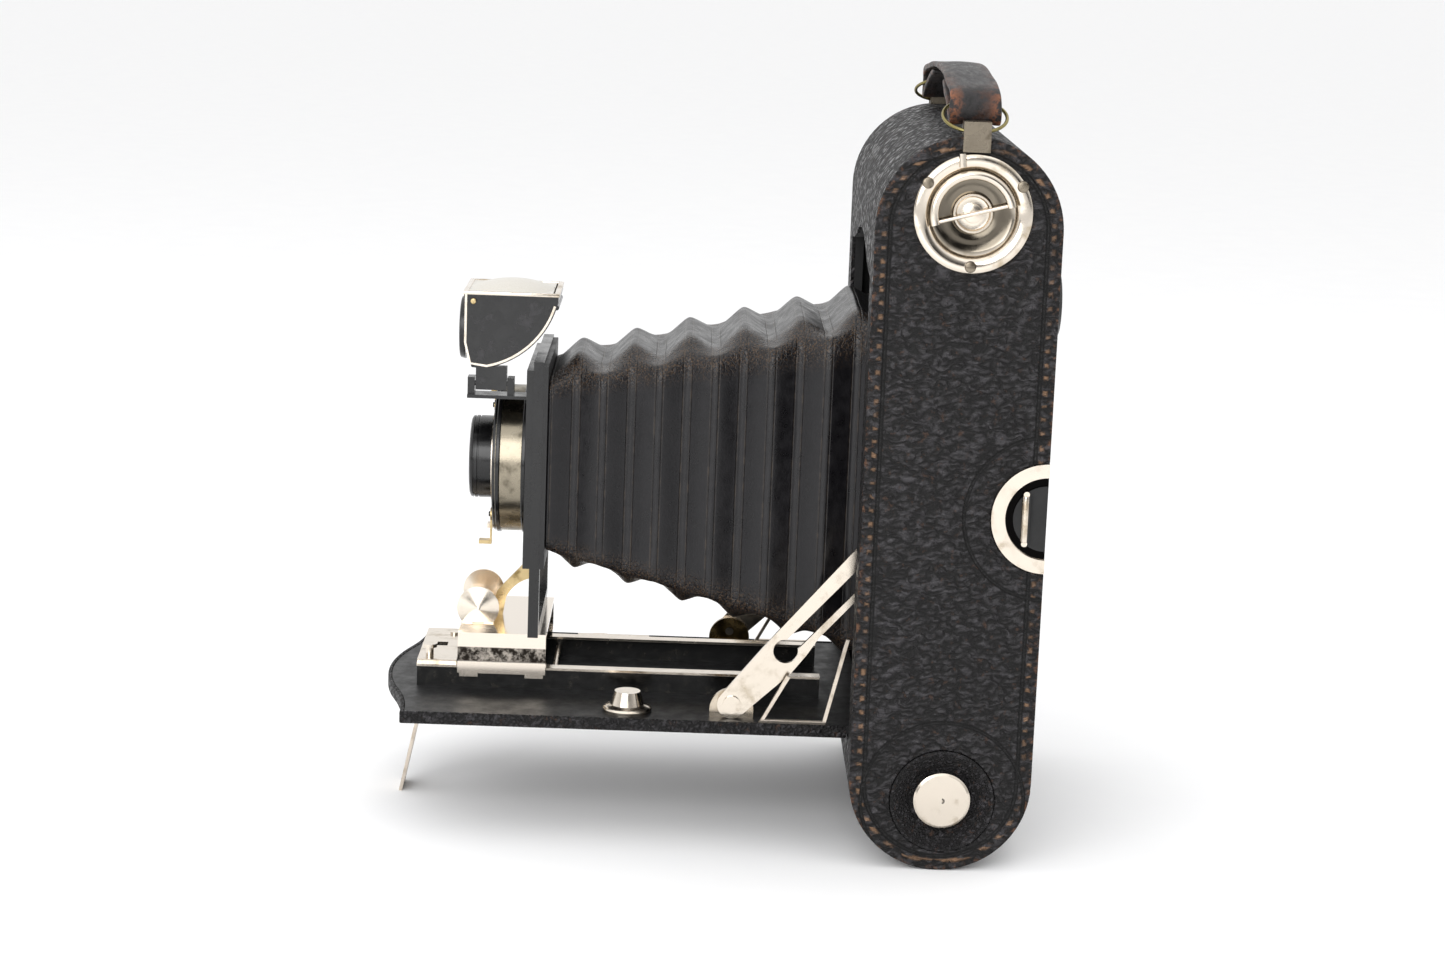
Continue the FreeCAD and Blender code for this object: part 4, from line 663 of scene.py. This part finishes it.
raised = bmesh.ops.extrude_face_region(bm, geom=bm.faces[:])["geom"]
bmesh.ops.translate(bm, vec=(0, 0, 0.9 * MM), verts=[v for v in raised if isinstance(v, bmesh.types.BMVert)])
bmesh.ops.bevel(bm, geom=bm.edges[:], offset=0.15 * MM, segments=2, profile=0.5, affect="EDGES", material=-1)
settle("finder_frame", bm, "finder", nickel)
bm = bmesh.new()
slotted_head(bm, (finder_high[0] + 0.25 * MM, finder_low[1] + 2.6 * MM, finder_high[2] - 2.2 * MM), (1, 0, 0), 0.8 * MM, 0.5 * MM, 0.4)
settle("finder_screw", bm, "finder", lit_brass)
lens_low, lens_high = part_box("finder_lens")
lens_x, lens_up = (lens_low[0] + lens_high[0]) / 2, (lens_low[2] + lens_high[2]) / 2
BEZEL = [(-1.3, 7.6), (-1.5, 7.9), (-1.3, 8.3), (-0.3, 8.6), (0.1, 8.6), (0.1, 7.4), (-0.6, 7.3)]
bm = lathe([(finder_low[1] + along * MM, radius * MM) for along, radius in BEZEL], (lens_x, 0, lens_up), (0, 1, 0))
add_rod(bm, (lens_x - 9 * MM, finder_high[1] - 0.5 * MM, finder_high[2] - 3.4 * MM),
        (lens_x + 12.4 * MM, finder_high[1] - 0.5 * MM, finder_high[2] - 3.4 * MM), 0.7 * MM)
settle("finder_bezel", bm, "finder", gloss_black)

# ------------------------------------------------------------------ carrying strap
# One strip of bridle leather, its ends folded through the rings and stitched back under.  It has
# stiffened into a low arch, cracked across the top and rubbed brown at its corners and ends.
strap_low, strap_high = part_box("strap")
strap_y = (strap_low[1] + strap_high[1]) / 2
top_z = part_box("wrap_leather")[1][2]
HALF_PATH = [(16.0, 11.6), (24.0, 10.7), (32.0, 9.2), (38.0, 7.4), (43.0, 4.9), (46.5, 3.1), (49.2, 2.9), (50.8, 4.8),
             (51.0, 7.4), (50.2, 9.6), (47.6, 11.0), (42.0, 11.7), (34.0, 12.5), (24.0, 13.3), (12.0, 14.0), (0.0, 14.3)]
path = [Vector((x * MM, 0, top_z + z * MM)) for x, z in HALF_PATH]
path += [Vector((-p.x, 0, p.z)) for p in reversed(path[:-1])]
rows = []
for index, point in enumerate(path):
    wide = (6.5 + 0.35 * noise.noise(point * 130)) * MM
    sway = Vector((0, strap_y + 0.5 * MM * noise.noise(point * 60), 0))
    rows.append([point + sway + Vector((0, wide * part, -0.35 * MM * part * part)) for part in (-1, -0.86, -0.45, 0, 0.45, 0.86, 1)])
bm = drawn_through(rows, False)
rim_layer = bm.verts.layers.float.new("rim")
for vertex in bm.verts:
    out = abs(vertex.co.y - strap_y) / (6.5 * MM)
    end = max(0.0, (abs(vertex.co.x) - 45 * MM) / (6 * MM))
    vertex[rim_layer] = min(1.0, max((out - 0.7) * 3.3, 0.0) * (0.25 + 0.75 * min(end, 1.0)) + 0.12 * end)
    crumple = max(0.0, 1.0 - abs(abs(vertex.co.x) - 26 * MM) / (16 * MM))
    vertex.co += noise.noise_vector(vertex.co * 160) * 0.45 * MM
    vertex.co.z += noise.noise(vertex.co * 110) * 1.3 * MM * crumple
bridle, tree, shader, place = finish("old_bridle_leather", IOR=1.5, Specular_IOR_Level=0.4)
rim = wire(tree, "Attribute", {}, attribute_name="rim").node.outputs["Fac"]
creases = wire(tree, "TexNoise", {"Vector": wire(tree, "Mapping", {"Vector": place, "Scale": (0.35, 1.0, 1.0)}),
                                  "Scale": 1 / (1.6 * MM), "Detail": 6.0, "Roughness": 0.7})
rubs = wire(tree, "TexNoise", {"Vector": place, "Scale": 1 / (3.5 * MM), "Detail": 5.0, "Roughness": 0.7})
colour = blend(tree, step(tree, creases, 0.35, 0.65), "#0e0d0d", "#2c292a")
colour = blend(tree, sums(tree, "MULTIPLY", rim, step(tree, rubs, 0.44, 0.56)), colour, "#8c5638")
tree.links.new(colour, shader.inputs["Base Color"])
tree.links.new(step(tree, creases, 0.3, 0.7, 0.36, 0.6), shader.inputs["Roughness"])
tree.links.new(wire(tree, "Bump", {"Strength": 1.0, "Distance": 0.6 * MM, "Height": creases}), shader.inputs["Normal"])
strap = settle("strap_leather", bm, "handle", bridle, ("strap",), smooth=180)
thick = strap.modifiers.new("leather_thickness", "SOLIDIFY")
thick.thickness = 1.5 * MM
thick.offset = 0
soften = strap.modifiers.new("soft_edges", "SUBSURF")
soften.levels = soften.render_levels = 2

# ------------------------------------------------------------------ floor, light and camera
# A wide flat sheet of pale paper under two large soft lights, seen from beside the camera's key side.
made, tree, shader, place = finish("white_paper", Roughness=0.8)
tooth = wire(tree, "TexNoise", {"Vector": place, "Scale": 40.0, "Detail": 3.0})
tree.links.new(blend(tree, tooth, "#f3f3f4", "#f7f7f7"), shader.inputs["Base Color"])
bm = bmesh.new()
bmesh.ops.create_grid(bm, x_segments=1, y_segments=1, size=25.0)
data = bpy.data.meshes.new("paper")
bm.to_mesh(data)
bm.free()
data.materials.append(made)
paper = bpy.data.objects.new("paper", data)
bpy.context.scene.collection.objects.link(paper)

world = bpy.data.worlds.new("white_studio")
bpy.context.scene.world = world
world.use_nodes = True
tree = world.node_tree
sky = tree.nodes.new("ShaderNodeTexCoord").outputs["Generated"]
x, y, z = apart(tree, sky)
# bright overhead and behind, dim behind the viewer, so that metal and leather have something to show
glow = sums(tree, "SUBTRACT", sums(tree, "MULTIPLY", z, 0.9), sums(tree, "MULTIPLY", x, 0.75))
tree.links.new(blend(tree, step(tree, glow, -0.7, 0.25), "#2c2b2d", "#ffffff"), tree.nodes["Background"].inputs["Color"])
tree.nodes["Background"].inputs["Strength"].default_value = 1.07


def softbox(name, place, aim, size, power):
    lamp = bpy.data.lights.new(name, "AREA")
    lamp.shape = "RECTANGLE"
    lamp.size, lamp.size_y = size
    lamp.energy = power
    lit = bpy.data.objects.new(name, lamp)
    lit.location = place
    lit.rotation_euler = (Vector(aim) - Vector(place)).to_track_quat("-Z", "Y").to_euler()
    bpy.context.scene.collection.objects.link(lit)


softbox("overhead", (0.1, -0.05, 1.0), (0, 0, 0.08), (1.5, 1.5), 3.0)
softbox("front_fill", (1.0, -0.35, 0.5), (0, 0, 0.05), (1.0, 0.7), 9.0)

VIEW = {"focal_px": 2962.3, "yaw": -0.01299, "pitch": 0.19805, "roll": 0.03758, "place_mm": (808.4, -7.65, 253.4)}
cos, sin = math.cos, math.sin
ahead = Vector((-cos(VIEW["yaw"]) * cos(VIEW["pitch"]), -sin(VIEW["yaw"]) * cos(VIEW["pitch"]), -sin(VIEW["pitch"])))
level = ahead.cross(Vector((0, 0, 1))).normalized()
above = level.cross(ahead)
right = cos(VIEW["roll"]) * level + sin(VIEW["roll"]) * above
up = -sin(VIEW["roll"]) * level + cos(VIEW["roll"]) * above
lens = bpy.data.cameras.new("view")
lens.sensor_width = 36.0
lens.lens = VIEW["focal_px"] * 36.0 / 1445
lens.clip_start = 0.01
eye = bpy.data.objects.new("view", lens)
eye.matrix_world = Matrix.Translation(Vector(VIEW["place_mm"]) * MM) @ Matrix((right, up, -ahead)).transposed().to_4x4()
bpy.context.scene.collection.objects.link(eye)
bpy.context.scene.camera = eye
bpy.context.scene.view_settings.view_transform = "Standard"
